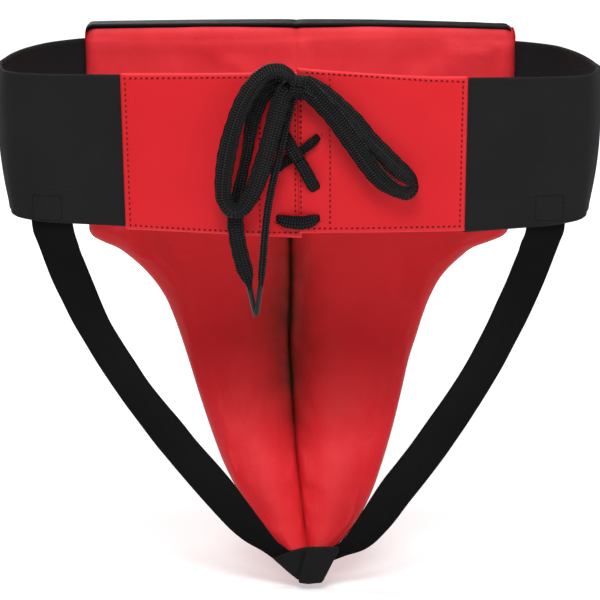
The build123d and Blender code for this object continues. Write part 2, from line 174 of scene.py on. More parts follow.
def make_mesh(name, verts, faces, uvs=None):
    """verts in mm; uvs one per vertex, in metres"""
    mesh = bpy.data.meshes.new(name)
    mesh.from_pydata([tuple(c * MM for c in v) for v in verts], [], faces)
    if uvs is not None:
        layer = mesh.uv_layers.new(name="UVMap")
        corner_verts = np.zeros(len(mesh.loops), np.int32)
        mesh.loops.foreach_get("vertex_index", corner_verts)
        layer.data.foreach_set("uv", np.asarray(uvs, np.float32)[corner_verts].ravel())
    mesh.validate()
    shade_smooth(mesh)
    mesh.update()
    return add_object(name, mesh)


def add_attribute(ob, name, values):
    layer = ob.data.attributes.new(name, "FLOAT", "POINT")
    layer.data.foreach_set("value", np.asarray(values, np.float32).ravel())


def grid_faces(rows, cols, close_cols=False, flip=False):
    faces = []
    for i in range(rows - 1):
        for j in range(cols if close_cols else cols - 1):
            a = i * cols + j
            b = i * cols + (j + 1) % cols
            quad = (a, b, b + cols, a + cols)
            faces.append(quad[::-1] if flip else quad)
    return faces


def join_parts(name, parts):
    """one mesh from several (verts, faces, uvs)"""
    verts, faces, uvs = [], [], []
    for part_verts, part_faces, part_uvs in parts:
        base = len(verts)
        verts += list(part_verts)
        faces += [tuple(i + base for i in face) for face in part_faces]
        uvs += list(part_uvs)
    return make_mesh(name, verts, faces, uvs)


def apply_modifiers(ob):
    graph = bpy.context.evaluated_depsgraph_get()
    mesh = bpy.data.meshes.new_from_object(ob.evaluated_get(graph))
    ob.modifiers.clear()
    old = ob.data
    ob.data = mesh
    mesh.name = ob.name
    bpy.data.meshes.remove(old)


def thicken(ob, thickness, offset=-1.0):
    solidify = ob.modifiers.new("thick", "SOLIDIFY")
    solidify.thickness = thickness * MM
    solidify.offset = offset
    solidify.use_rim = True
    apply_modifiers(ob)
    shade_smooth(ob.data)


def surface_tree(ob):
    """search tree of a mesh, for finding its surface with rays"""
    mesh = ob.data
    return BVHTree.FromPolygons([v.co.copy() for v in mesh.vertices],
                                [tuple(p.vertices) for p in mesh.polygons])


def tube(path, radius, sides):
    """(verts, faces, uvs) of a round tube with pointed end caps along a polyline"""
    path = np.asarray(path, float)
    tangents = np.gradient(path, axis=0)
    tangents /= np.maximum(np.linalg.norm(tangents, axis=1)[:, None], 1e-9)
    normal = np.cross(tangents[0], (0.3, 0.9, 0.25))
    normal /= np.linalg.norm(normal)
    verts, uvs = [], []
    along = distances(path)
    for point, tangent, s in zip(path, tangents, along):
        normal = normal - tangent * (normal @ tangent)
        normal /= np.linalg.norm(normal)
        across = np.cross(tangent, normal)
        for k in range(sides):
            angle = 2 * math.pi * k / sides
            verts.append(point + radius * (math.cos(angle) * normal + math.sin(angle) * across))
            uvs.append((s * MM, k / sides * 2 * math.pi * radius * MM))
    faces = grid_faces(len(path), sides, close_cols=True)
    for end, sign in ((0, -1), (len(path) - 1, 1)):
        tip = len(verts)
        verts.append(path[end] + sign * tangents[end] * radius * 0.6)
        uvs.append((along[end] * MM, 0))
        for k in range(sides):
            a = end * sides + k
            b = end * sides + (k + 1) % sides
            faces.append((a, b, tip) if sign > 0 else (b, a, tip))
    return verts, faces, uvs


def dress(ob, material, body=None, blend=None, replaces=()):
    ob.data.materials.clear()
    ob.data.materials.append(material)
    if blend:
        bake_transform(ob)
    elif body:
        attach(ob, body)
    if replaces:
        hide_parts(*replaces)


# ------------------------------------------------------------------ shader tools


class Value:
    """a node output that can be used in arithmetic, which adds math nodes"""

    def __init__(self, net, socket):
        self.net = net
        self.socket = socket

    def __add__(self, other):
        return self.net.math("ADD", self, other)

    def __sub__(self, other):
        return self.net.math("SUBTRACT", self, other)

    def __rsub__(self, other):
        return self.net.math("SUBTRACT", other, self)

    def __mul__(self, other):
        return self.net.math("MULTIPLY", self, other)

    def __truediv__(self, other):
        return self.net.math("DIVIDE", self, other)

    def __pow__(self, other):
        return self.net.math("POWER", self, other)

    def __abs__(self):
        return self.net.math("ABSOLUTE", self)

    def clamped(self):
        self.socket.node.use_clamp = True
        return self


class Net:
    """short ways to add nodes to a tree"""

    def __init__(self, tree):
        self.tree = tree

    def put(self, socket, value):
        """link a Value, or set a number or an RGB colour"""
        if isinstance(value, Value):
            self.tree.links.new(value.socket, socket)
        elif isinstance(value, tuple):
            socket.default_value = (*value, 1)
        else:
            socket.default_value = value

    def node(self, kind, inputs, output=0, **settings):
        node = self.tree.nodes.new(kind)
        for key, value in settings.items():
            setattr(node, key, value)
        for key, value in inputs.items():
            self.put(node.inputs[key], value)
        return Value(self, node.outputs[output])

    def math(self, operation, *operands):
        return self.node("ShaderNodeMath", dict(enumerate(operands)), operation=operation)

    def object_place(self):
        return self.node("ShaderNodeTexCoord", {}, "Object")

    def uv(self):
        """lengths in metres along u and along v"""
        uv_map = self.node("ShaderNodeUVMap", {}, uv_map="UVMap")
        u = self.node("ShaderNodeSeparateXYZ", {0: uv_map})
        return u, Value(self, u.socket.node.outputs[1])

    def attribute(self, name):
        return self.node("ShaderNodeAttribute", {}, "Fac", attribute_name=name)

    def noise(self, place, scale, detail=3.0, roughness=0.5):
        return self.node("ShaderNodeTexNoise", {"Scale": scale, "Detail": detail,
                                                "Roughness": roughness, "Vector": place})

    def wave(self, length, period, phase=None):
        """0..1 cosine of a length in metres"""
        angle = length * (2 * math.pi / period)
        if phase is not None:
            angle = angle + phase
        return self.math("COSINE", angle) * 0.5 + 0.5

    def colour_ramp(self, value, stops):
        ramp_value = self.node("ShaderNodeValToRGB", {0: value})
        elements = ramp_value.socket.node.color_ramp.elements
        while len(elements) > 1:
            elements.remove(elements[-1])
        elements[0].position = stops[0][0]
        elements[0].color = (*stops[0][1], 1)
        for position, colour in stops[1:]:
            elements.new(position).color = (*colour, 1)
        return ramp_value

    def mix(self, factor, a, b):
        return self.node("ShaderNodeMix", {0: factor, 6: a, 7: b}, 2, data_type="RGBA")

    def bump(self, height, distance, strength, normal=None):
        inputs = {"Strength": strength, "Distance": distance, "Height": height}
        if normal is not None:
            inputs["Normal"] = normal
        return self.node("ShaderNodeBump", inputs)

    def surface(self, **inputs):
        """set the Principled inputs, underscores standing for spaces"""
        for key, value in inputs.items():
            self.put(self.shader.inputs[key.replace("_", " ")], value)
        return self.material


def new_material(name):
    material = bpy.data.materials.new(name)
    material.use_nodes = True
    net = Net(material.node_tree)
    net.tree.nodes.clear()
    output = net.tree.nodes.new("ShaderNodeOutputMaterial")
    net.shader = net.tree.nodes.new("ShaderNodeBsdfPrincipled")
    net.tree.links.new(net.shader.outputs[0], output.inputs[0])
    net.material = material
    return net


# ------------------------------------------------------------------ materials
# painted shade colour for the seam valley and the waistband's shadow on the pad
SHADE_PAINT_COLOUR = (0.040, 0.0090, 0.0030)
# painted highlight colour for the pad's top strip and lower lobes and the panels' turned edges
HIGHLIGHT_PAINT_COLOUR = (0.90, 0.048, 0.062)


def leather(name, base, dark, light, roughness, grain, creases):
    """grained leather, darkened by painted shade from the crease attribute and lightened by painted
    highlights from a second attribute
    """
    net = new_material(name)
    place = net.object_place()
    broad = net.noise(place, scale=14.0, detail=3.0, roughness=0.55)
    fine = net.noise(place, scale=420.0, detail=4.0, roughness=0.6)
    pebble = net.node("ShaderNodeTexVoronoi", {"Scale": 1150.0, "Vector": place}, "Distance",
                      feature="SMOOTH_F1")
    folds = net.noise(place, scale=46.0, detail=4.0, roughness=0.55)
    colour = net.colour_ramp(broad, [(0.30, dark), (0.52, base), (0.74, light)])
    colour = net.mix((0.6 - fine).clamped() * 0.5, colour, dark)
    # painted highlight: convex edges lightened towards the light tone
    pointiness = net.node("ShaderNodeNewGeometry", {}, "Pointiness")
    edge = net.colour_ramp(pointiness, [(0.50, (0, 0, 0)), (0.56, (1, 1, 1))])
    colour = net.mix(edge * 0.25, colour, light)
    # painted shade from the crease attribute, broken up by noise, then painted highlights in cloudy
    # patches
    mottle = net.noise(place, scale=60.0, detail=3.0, roughness=0.6) * 0.9 + 0.55
    colour = net.mix((net.attribute("crease") * mottle).clamped(), colour, SHADE_PAINT_COLOUR)
    cloud = net.noise(place, scale=38.0, detail=3.0, roughness=0.6) * 1.3 + 0.25
    colour = net.mix((net.attribute("painted_highlight") * cloud).clamped(), colour, HIGHLIGHT_PAINT_COLOUR)
    normal = net.bump(folds, distance=0.0016 * creases, strength=0.35)
    normal = net.bump(pebble, distance=0.00016 * grain, strength=0.55, normal=normal)
    normal = net.bump(fine, distance=0.00012 * grain, strength=0.4, normal=normal)
    return net.surface(Base_Color=colour, Normal=normal, Sheen_Weight=0.0,
                       Roughness=fine * 0.16 + (roughness - 0.08) + broad * 0.08,
                       Specular_IOR_Level=0.20)


def woven(name, base, light, rib, pick, roughness, depth, sheen, specular):
    """woven tape: u runs along, v across; rib and pick are the thread pitches across and along"""
    net = new_material(name)
    u, v = net.uv()
    place = net.object_place()
    speck = net.noise(place, scale=1500.0, detail=2.0, roughness=0.7)
    soft = net.noise(place, scale=30.0)
    ribs = net.wave(v, rib)
    # every other row is shifted by half a pick
    row = net.math("FLOOR", v / rib)
    picks = net.wave(u, pick, net.math("MODULO", abs(row), 2.0) * math.pi)
    height = ribs * (picks * 0.6 + 0.4)
    # lighter on the raised threads: painted highlight, broken up by random fibre specks and soft
    # patches
    blend = ((height * 0.55 + speck * 0.35) * 1.0).clamped()
    blend = (blend * (soft + 0.35)).clamped()
    return net.surface(Base_Color=net.mix(blend, base, light), Roughness=roughness,
                       Normal=net.bump(height + speck * 0.5, distance=depth, strength=0.75),
                       Sheen_Weight=sheen, Sheen_Roughness=0.5, Specular_IOR_Level=specular)


def braid(name, base, light):
    """flat tubular braid: u runs along, v round"""
    net = new_material(name)
    u, v = net.uv()
    yarn_pitch = 0.00135
    column_width = 0.00150
    slant_rise = 0.0008
    # chevrons: yarns lean one way in one column and the other way in the next
    column = net.math("PINGPONG", v / column_width, 1.0)
    yarn = net.wave(u + column * slant_rise, yarn_pitch)
    groove = 1.0 - abs(column * 2.0 - 1.0) ** 6.0
    height = yarn ** 0.7 * (groove * 0.8 + 0.2)
    fibre = net.noise(net.object_place(), scale=2600.0, detail=2.0, roughness=0.7)
    # painted highlight on the raised yarns and rib tops, broken up by fibre noise
    blend = (height ** 3.0 * (fibre * 1.2 + 0.25)).clamped()
    blend = blend * (net.attribute("rib") ** 2.0 * 0.75 + 0.25)
    return net.surface(Base_Color=net.mix(blend, base, light), Roughness=0.48,
                       Normal=net.bump(height + fibre * 0.25, distance=0.00042, strength=0.9),
                       Sheen_Weight=0.0, Specular_IOR_Level=0.12)


def plastic(name, base, roughness, speck=0.2, specular=0.5):
    """smooth solid; speck is how much the roughness varies"""
    net = new_material(name)
    place = net.object_place()
    fine = net.noise(place, scale=900.0, detail=3.0, roughness=0.6)
    cloud = net.noise(place, scale=120.0, detail=2.0)
    light = tuple(min(1.0, c * 1.6 + 0.01) for c in base)
    return net.surface(Base_Color=net.mix(cloud * 0.6, base, light),
                       Roughness=fine * speck + (roughness - speck / 2),
                       Normal=net.bump(fine, distance=0.00006, strength=0.4),
                       Specular_IOR_Level=specular)


def twisted_thread(name, base, light, specular=0.25):
    net = new_material(name)
    u, v = net.uv()
    twist = net.wave(u + v * 0.6, 0.0005)
    # the crests of the twist lighter: painted highlight
    return net.surface(Base_Color=net.mix(twist, base, light), Roughness=0.55,
                       Normal=net.bump(twist, distance=0.00008, strength=0.6),
                       Specular_IOR_Level=specular)


COVER = leather("red_cover", base=(0.635, 0.0094, 0.0160), dark=(0.585, 0.0080, 0.0132),
                light=(0.690, 0.0140, 0.0215), roughness=0.54, grain=1.0, creases=0.7)
PANEL = leather("red_panel", base=(0.640, 0.0100, 0.0175), dark=(0.615, 0.0088, 0.0155),
                light=(0.670, 0.0130, 0.0210), roughness=0.46, grain=0.9, creases=0.35)
BINDING = woven("black_binding", base=(0.0012, 0.0012, 0.0014), light=(0.0050, 0.0050, 0.0058),
                rib=0.0007, pick=0.0006, roughness=0.45, depth=0.00006, sheen=0.0, specular=0.05)
ELASTIC = woven("waist_elastic", base=(0.0090, 0.0090, 0.0094), light=(0.0205, 0.0205, 0.0215),
                rib=0.00085, pick=0.0007, roughness=0.85, depth=0.00014, sheen=0.02,
                specular=0.10)
STRAP = woven("leg_strap_webbing", base=(0.0022, 0.0022, 0.0025),
              light=(0.0080, 0.0080, 0.0088), rib=0.00095, pick=0.0008, roughness=0.82,
              depth=0.00020, sheen=0.01, specular=0.07)
TAB = woven("crotch_tab_tape", base=(0.0032, 0.0032, 0.0036), light=(0.0110, 0.0110, 0.0120),
            rib=0.0008, pick=0.0007, roughness=0.70, depth=0.00012, sheen=0.02, specular=0.14)
LACE = braid("lace_braid", base=(0.0002, 0.0002, 0.0003), light=(0.0590, 0.0595, 0.0612))
AGLET = plastic("aglet_plastic", (0.0035, 0.0035, 0.0040), roughness=0.32, speck=0.12,
                specular=0.30)
CUP_SHELL = plastic("cup_shell", (0.06, 0.06, 0.065), roughness=0.45)
CUP_CUSHION = plastic("cup_cushion", (0.035, 0.035, 0.04), roughness=0.7)
CANVAS = woven("canvas_core", base=(0.30, 0.26, 0.20), light=(0.46, 0.41, 0.33),
               rib=0.0009, pick=0.0009, roughness=0.9, depth=0.0002, sheen=0.2, specular=0.2)
RED_THREAD = twisted_thread("red_thread", base=(0.47, 0.010, 0.016), light=(0.66, 0.028, 0.036))
BLACK_THREAD = twisted_thread("black_thread", base=(0.0035, 0.0035, 0.0040),
                              light=(0.0090, 0.0090, 0.0100), specular=0.08)
# dark red of the needle holes and the eyelet dips: painted shade inside the holes
HOLE_SHADE = plastic("needle_hole", (0.105, 0.0022, 0.0034), roughness=0.85, speck=0.1, specular=0.05)

# ------------------------------------------------------------------ the padded guard
TOP_Z = 56.0
HALF_WIDTH = 118.0
FACE_BOW = 11.0     # how far the face falls back towards -y at the sides

# stations up the pad: height, inner face y, cosine of the face's tilt, thickness, cup swell
STATION_Z = [-224.0, -222.0, -202.0, -178.0, -150.0, -120.0, -85.0, -50.0, -15.0, 20.0, TOP_Z]
face_y = smooth_table(STATION_Z, [3.6, 5.0, 18.5, 34.5, 52.0, 67.5, 80.5, 87.0, 88.0, 87.0, 86.0])
tilt_cos = smooth_table(STATION_Z, [0.82, 0.82, 0.82, 0.83, 0.86, 0.91, 0.96, 0.99, 1, 1, 1])
pad_depth = smooth_table(STATION_Z,
                         [8.0, 8.5, 13.0, 18.0, 21.0, 22.5, 23.5, 23.5, 23.0, 22.5, 22.0])
cup_swell = smooth_table(STATION_Z, [0, 0, 1.0, 4.5, 9.0, 11.5, 9.5, 4.0, 0.5, 0, 0])

# the two side outlines, from the tip up: height, then distance from x = 0 on each side
OUTLINE_Z = [-223.0, -219.0, -211.3, -196.6, -182.3, -167.6, -147.7, -127.3, -116.9, -106.3,
             -95.4, -84.4, -78.9, -73.4, -67.8, -64.5, -61.5, -58.5, -54.0, -48.0, 0.0, 48.0,
             53.0, 56.0]
outline = {
    -1: smooth_table(OUTLINE_Z, [
        8.5, 13.5, 21.0, 32.4, 41.2, 47.9, 55.7, 62.9, 66.6, 70.7, 75.8, 83.8, 89.0, 95.2, 103.0,
        110.4, 115.6, 117.6, 118.0, 118.0, 118.2, 118.3, 118.2, 117.6]),
    1: smooth_table(OUTLINE_Z, [
        16.0, 21.8, 29.5, 39.4, 45.7, 51.0, 56.9, 62.4, 66.1, 69.7, 74.2, 80.6, 85.4, 91.4, 98.8,
        107.2, 114.0, 117.0, 117.9, 118.1, 119.6, 119.7, 119.4, 118.4]),
}
# x of the centre seam, which wanders and leans towards the tip
seam_x = smooth_table([-224, -205, -190, -175, -160, -140, -120, -90, -60, -40, 0, 56],
                      [5.0, 2.2, 0.2, -1.6, -2.8, -4.2, -5.4, -4.6, -4.8, -4.2, -2.4, -1.6])

# quilted ring round the raised cup area of the outer face
RING_HALF_WIDTH = 58.0
RING_HALF_HEIGHT = 88.0
RING_Z = -118.0

CLOTH = {
    "quality": 6, "mass": 0.25, "tension_stiffness": 12.0, "compression_stiffness": 12.0,
    "shear_stiffness": 6.0, "bending_stiffness": 0.35, "compression_damping": 12.0,
    "tension_damping": 12.0, "air_damping": 3.0,
    "shrink_min": -0.045, "shrink_max": -0.020,      # negative: the skin is oversized
    "use_pressure": True, "uniform_pressure_force": 1.2, "vertex_group_mass": "held",
}
CLOTH_FRAMES = 20


def rim_distance(side, out_x, z):
    """how far each point is from the side outline, in mm"""
    rim_z = np.concatenate([np.linspace(-223, -70, 160), np.linspace(-70, -54, 60),
                            np.linspace(-54, 56, 60)])
    rim = np.stack([outline[side](rim_z), rim_z], 1)
    starts = rim[:-1]
    steps = rim[1:] - starts
    points = np.stack([out_x.ravel(), z.ravel()], 1)
    nearest = np.full(len(points), 1e9)
    for start, step, square in zip(starts, steps, (steps ** 2).sum(1)):
        t = np.clip(((points - start) @ step) / max(square, 1e-9), 0, 1)
        gap = np.linalg.norm(points - start - t[:, None] * step, axis=1)
        nearest = np.minimum(nearest, gap)
    return nearest.reshape(out_x.shape)


def inner_face(x, z):
    return face_y(z) - FACE_BOW * (x / HALF_WIDTH) ** 2


def thickness(x, z):
    """pad thickness, thinner towards the sides, and the cup swell on top of it"""
    swell = (1 - np.clip(np.abs(x) / 78.0, 0, 1) ** 2) ** 2
    outward = ramp(np.abs(x), 10, 110.0)
    taper = 1 - 0.42 * outward ** 1.6 * ramp(z, -90, 110.0)
    return pad_depth(z) * taper, cup_swell(z) * swell


def cloth_relief(side, inner, x, y, z):
    """let a slightly oversized skin, held at its seams, buckle under a little pressure;
    returns how far it moved along y at each grid point, in mm"""
    rows, cols = x.shape
    row_picks = np.unique(np.round(np.linspace(0, rows - 1, 64)).astype(int))
    col_picks = np.unique(np.round(np.linspace(0, cols - 1, 26)).astype(int))
    coarse = np.ix_(row_picks, col_picks)
    verts = np.stack([x[coarse].ravel(), y[coarse].ravel(), z[coarse].ravel()], 1)
    last_row = len(row_picks) - 1
    last_col = len(col_picks) - 1
    faces = grid_faces(len(row_picks), len(col_picks), flip=(side > 0) ^ inner)
    ob = make_mesh("skin_sim", verts, faces)
    held = [i * len(col_picks) + j
            for i in range(len(row_picks)) for j in range(len(col_picks))
            if i in (0, last_row) or j in (0, last_col)]
    ob.vertex_groups.new(name="held").add(held, 1.0, "REPLACE")
    modifier = ob.modifiers.new("Cloth", "CLOTH")
    for key, value in CLOTH.items():
        setattr(modifier.settings, key, value)
    modifier.settings.effector_weights.gravity = 0.0
    modifier.collision_settings.use_collision = False
    modifier.collision_settings.use_self_collision = False
    modifier.point_cache.frame_start = 1
    modifier.point_cache.frame_end = CLOTH_FRAMES
    scene = bpy.context.scene
    for number in range(1, CLOTH_FRAMES + 1):
        scene.frame_set(number)
    evaluated = ob.evaluated_get(bpy.context.evaluated_depsgraph_get())
    places = np.zeros(len(verts) * 3, np.float32)
    evaluated.data.vertices.foreach_get("co", places)
    settled_y = (places.reshape(-1, 3)[:, 1] / MM).reshape(y[coarse].shape)
    moved = np.nan_to_num(settled_y - y[coarse])
    mesh = ob.data
    bpy.data.objects.remove(ob)
    bpy.data.meshes.remove(mesh)
    scene.frame_set(1)
    # limit the relief, then go back to the fine grid
    moved = 1.9 * np.tanh(moved / 2.6)
    wide = np.stack([np.interp(np.arange(cols), col_picks, row) for row in moved])
    return np.stack([np.interp(np.arange(rows), row_picks, wide[:, j]) for j in range(cols)], 1)


def cup_tree():
    """search tree of the hard cup and its cushion, which the inner skin must not dip into"""
    verts, faces = [], []
    for name in ("hard_cup", "cup_rim_cushion"):
        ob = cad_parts[name]
        base = len(verts)
        verts += [ob.matrix_world @ v.co for v in ob.data.vertices]
        faces += [tuple(i + base for i in p.vertices) for p in ob.data.polygons]
    return BVHTree.FromPolygons(verts, faces)


CUP = cup_tree()


def inner_tones(side, out_x, z, seam_gap, rim_gap, span, low):
    """strengths of the painted shade and the painted highlights over the inner face"""
    # painted highlights: the top strip and its folds under the binding, and cloudy patches on the
    # lower lobes
    painted_highlight = 0.58 * ramp(z, -10.0, 40.0) + 0.45 * bell(z, 1.8, 55.0) + 0.30 * bell(z, 2.6, 47.5)
    slant = z + 173.0 - (0.55 if side < 0 else 0.25) * (out_x - 22.0)
    painted_highlight += 0.40 * bell(slant, 11.0) * arch(span, 0.9) * low
    painted_highlight += 0.22 * bell(z, 12.0, -196.0) * low
    # painted shadow of the waistband: an even darkening below it that fades out towards the tip
    fade = 1 - 1 / (1 + np.exp(-(-z - 165.0 + 0.12 * out_x) / 7.0))
    band_shadow = 0.21 * ramp(-z, 34.0, 10.0) * fade
    # painted shade in the valley along the seam
    wide = (5.0 + 8.0 * bell(z, 42.0, -105.0)) * (1.15 if side < 0 else 0.95)
    seam_shade = 0.60 * np.clip((z + 185.0) / 45.0, 0.05, 1) * np.exp(-(seam_gap / wide) ** 1.3)
    seam_shade += 0.40 * np.exp(-seam_gap ** 1.2)
    painted_shade = band_shadow * (1 - 0.35 * bell(rim_gap, 9.0)) + ramp(-z, 36.0, 14.0) * seam_shade
    return painted_shade, painted_highlight


def pad_grid(side, inner):
    """x, y, z, painted shade and painted highlight over one half of one face (rows down, columns
    out)
    """
    heights = np.concatenate([
        np.linspace(TOP_Z, 46.0, 10, endpoint=False), np.linspace(46.0, -52.0, 46, endpoint=False),
        np.linspace(-52.0, -76.0, 26, endpoint=False), np.linspace(-76.0, -223.0, 74)])
    cols = 62
    t = np.linspace(0, 1, cols)
    # more columns near the side edge and near the seam
    outward = 0.55 * (1 - (1 - t) ** 1.35) + 0.45 * t ** 1.25
    z = np.repeat(heights[:, None], cols, 1)
    seam = seam_x(heights)[:, None]
    edge = outline[side](heights)[:, None]
    x = side * (side * seam + (edge - side * seam) * outward[None, :])
    out_x = side * x
    rim_gap = rim_distance(side, out_x, z)
    seam_gap = np.abs(x - seam)
    depth, swell = thickness(x, z)
    tilt = tilt_cos(z)
    face = inner_face(x, z)
    # rounded side edge
    radius = np.minimum(depth / 2.0, 11.0)
    rounding = radius * (1 - np.sqrt(np.clip(1 - (1 - np.clip(rim_gap / radius, 0, 1)) ** 2, 0, 1)))
    low = ramp(-z, 30.0, 25.0)          # 1 below the waistband
    tip = ramp(z, -223.0, 26.0)         # 0 at the tip
    span = np.clip(seam_gap / np.maximum(edge - side * seam, 1.0), 0, 1)
    if inner:
        valley = (0.5 + 1.3 * low * (0.45 + 0.55 * tip)) * np.exp(-seam_gap)
        valley += (0.2 + 3.4 * low * tip) * bell(seam_gap, 15.0)
        crown = (1.2 + 5.2 * low * tip) * arch(span, 0.72) ** 1.1
        # broad soft swells across each lobe low down
        waves = 1.6 * bell(z + 158 - 0.10 * x, 13.0) * arch(span, 0.8)
        waves += 0.9 * bell(z + 186 + 0.15 * out_x, 9.0) * arch(span, 0.8)
        # the skin turns over the top edge, with shallow level folds under the binding
        lip = 2.4 * np.exp(-(TOP_Z - z) / 3.2) * (z > 0)
        folds = (0.55 * bell(z - 47.5 - 1.2 * np.sin(x / 31.0), 1.9)
                 * (0.6 + 0.4 * np.sin(x / 23.0 + 1.0)))
        folds += (0.45 * bell(z - 42.3 + 1.6 * np.sin(x / 40.0 + 0.6), 1.6)
                  * (0.5 + 0.5 * np.sin(x / 33.0)))
        y = face + (valley - crown - waves + lip - folds) / tilt + rounding / tilt
    else:
        valley = 1.6 * np.exp(-seam_gap / 2.4) + 0.5 * bell(seam_gap, 10.0)
        crown = 2.0 * arch(span, 0.8) ** 1.2 * (0.3 + 0.7 * tip)
        oval = np.hypot(x / RING_HALF_WIDTH, (z - RING_Z) / RING_HALF_HEIGHT)
        ring = 1.3 * bell(oval, 0.045, 1.0)
        line = 1.1 * bell(z, 1.7, 6.0) * np.clip(1.1 - (np.abs(x) / HALF_WIDTH) ** 6, 0, 1)
        tuck = 1.5 * ramp(z, 43.0, 7.0)
        # keeps the sewn-in ends of the waist elastic covered
        cover = 2.2 * ramp(out_x, 96.0, 8.0) * ramp(z, -50.0, 8.0) * ramp(-z, -50.0, 8.0)
        y = face + (depth + swell - valley + crown - 2.2 - ring - line - tuck + cover) / tilt
        y = y - rounding / tilt
    # uneven filling, and on the inner face pulls running out from the seam
    free = np.minimum(1.0, rim_gap / 6.0) * np.minimum(1.0, 0.25 + seam_gap / 6.0)
    lumps = fbm_grid(x * 1.2 + (0 if inner else 300), z * 0.55, 3.0, 34.0)
    y += free * (0.35 + 0.65 * ramp(-z, 20, 60)) * 1.25 * lumps
    if inner:
        pulls = fbm_grid(x * 0.25, z * 1.8, 9.0, 16.0, 2)
        y += 0.75 * np.exp(-seam_gap / 20.0) * free * pulls * (z < -40)
    y += cloth_relief(side, inner, x, y, z) * ramp(rim_gap, 0, 5.0) * ramp(-z, -50.0, 10.0)
    if not inner:
        return x, y, z, np.zeros_like(y), np.zeros_like(y)
    for spot in np.ndindex(y.shape):
        start = Vector((x[spot] * MM, -0.05, z[spot] * MM))
        hit = CUP.ray_cast(start, Vector((0, 1, 0)))[0]
        if hit is not None:
            y[spot] = min(y[spot], hit.y / MM - 0.8)
    return x, y, z, *inner_tones(side, out_x, z, seam_gap, rim_gap, span, low)


def pad_piece(name, side, inner):
    x, y, z, painted_shade, painted_highlight = pad_grid(side, inner)
    verts = np.stack([x.ravel(), y.ravel(), z.ravel()], 1)
    ob = make_mesh(name, verts, grid_faces(*x.shape, flip=(side > 0) ^ inner),
                   verts[:, [0, 2]] * MM)
    add_attribute(ob, "crease", painted_shade)
    add_attribute(ob, "painted_highlight", painted_highlight)
    return ob


pad_parts = {}
for side, tag in SIDES:
    for inner, face_name in ((True, "inner"), (False, "outer")):
        name = "guard_%s_cover_%s" % (face_name, tag)
        pad_parts[(side, inner)] = pad_piece(name, side, inner)
for (side, inner), ob in pad_parts.items():
    tag = "left" if side < 0 else "right"
    replaced = ["inner_cover_" + tag] if inner else ["outer_cover_" + tag, "foam_block_" + tag]
    if inner and side < 0:
        replaced.append("lining_foam")
    dress(ob, COVER, "guard", replaces=replaced)

# the hidden hard parts keep their CAD shapes inside the pad
for name, material in (("hard_cup", CUP_SHELL), ("cup_rim_cushion", CUP_CUSHION)):
    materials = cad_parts[name].data.materials
    materials.clear()
    materials.append(material)

# ------------------------------------------------------------------ the top edge binding


def top_binding():
    """tape folded over the pad's top edge"""
    verts, uvs = [], []
    stations = np.linspace(-117.7, 117.0, 120)
    for x in stations:
        face = float(inner_face(x, TOP_Z))
        depth, _ = thickness(np.array(x, float), np.array(TOP_Z))
        inner_y = face + 0.9
        outer_y = face + float(depth) - 0.4
        width = outer_y - inner_y
        # rounded ends, a notch at the seam, slimmer towards the right end
        end = min(1.0, (117.9 - abs(x)) / 4.0)
        drop = 6.5 * (1 - math.sqrt(max(0.0, 1 - (1 - end) ** 2)))
        notch = 0.45 * math.exp(-abs(x + 1.6) / 1.6)
        slim = min(1.0, max(0.0, (x - 30.0) / 85.0))
        top = 57.5 - drop * 0.55 - notch - 1.3 * slim ** 1.4
        lip = 1 - 0.5 * slim
        section = [(inner_y + 0.6, top - 2.2 * lip), (inner_y - 0.15, top - 1.5 * lip),
                   (inner_y - 0.30, top - 0.7 * lip), (inner_y + 0.2, top - 0.1),
                   (inner_y + 1.2, top + 0.35)]
        for k in range(1, 6):
            t = k / 6
            roll = 1.5 * t * (0.5 + 0.5 * math.cos(math.pi * (t - 0.62)))
            section.append((inner_y + 1.2 + (width - 2.0) * t,
                            top + 0.35 + roll + 0.25 * fbm(x, k * 4.0, 0, 9.0, 2)))
        section += [(outer_y + dy, top + dz) for dy, dz in (
            (-0.2, 1.35), (0.7, 0.6), (1.05, -0.6), (1.0, -3.5), (0.8, -7.5), (0.1, -7.9),
            (-0.8, -7.6))]
        for (y, z), along in zip(section, distances(np.array(section))):
            verts.append((x, y, z))
            uvs.append((x * MM, along * MM))
    return make_mesh("guard_top_binding", verts, grid_faces(len(stations), len(section)), uvs)


dress(top_binding(), BINDING, "guard", replaces=["top_binding"])

# ------------------------------------------------------------------ the waist elastic
# the lacing panels follow an arc about (0, 552) seen from above
ARC_Y = 552.0
ARC_RADIUS = 600.0


def arc_y(x, radius=ARC_RADIUS):
    return ARC_Y - math.sqrt(radius * radius - x * x)


# (distance from x = 0, y) seen from above, from the pad round the hip to under the panel
BAND = [(105.5, 83.6), (112.0, 83.0), (118.6, 81.4), (127.0, 76.4), (138.0, 66.5),
        (150.5, 43.0), (157.1, 19.0), (157.1, 0.0), (149.5, -26.0), (142.5, -32.0),
        (129.0, -36.3), (112.0, -37.7), (98.0, -38.3)]
BAND += [(x, arc_y(x, ARC_RADIUS - 2.4)) for x in (88.0, 84.0, 80.0)]
# top edge of the band: y, then height
BAND_TOP = {
    -1: ([-40, -30, -18, 0, 22, 30, 48, 68, 84, 92],
         [38.9, 39.5, 40.4, 41.4, 43.0, 44.2, 46.3, 48.0, 49.4, 50.2]),
    1: ([-40, -31, -16, 0, 19, 43, 60, 83, 92],
        [37.4, 38.0, 39.2, 40.0, 40.8, 44.4, 46.2, 47.8, 48.6]),
}
BAND_HALF_THICKNESS = 0.85
WAIST_BLEND = ("guard", "closure", (0, 0.068, 0), (0, -0.030, 0))


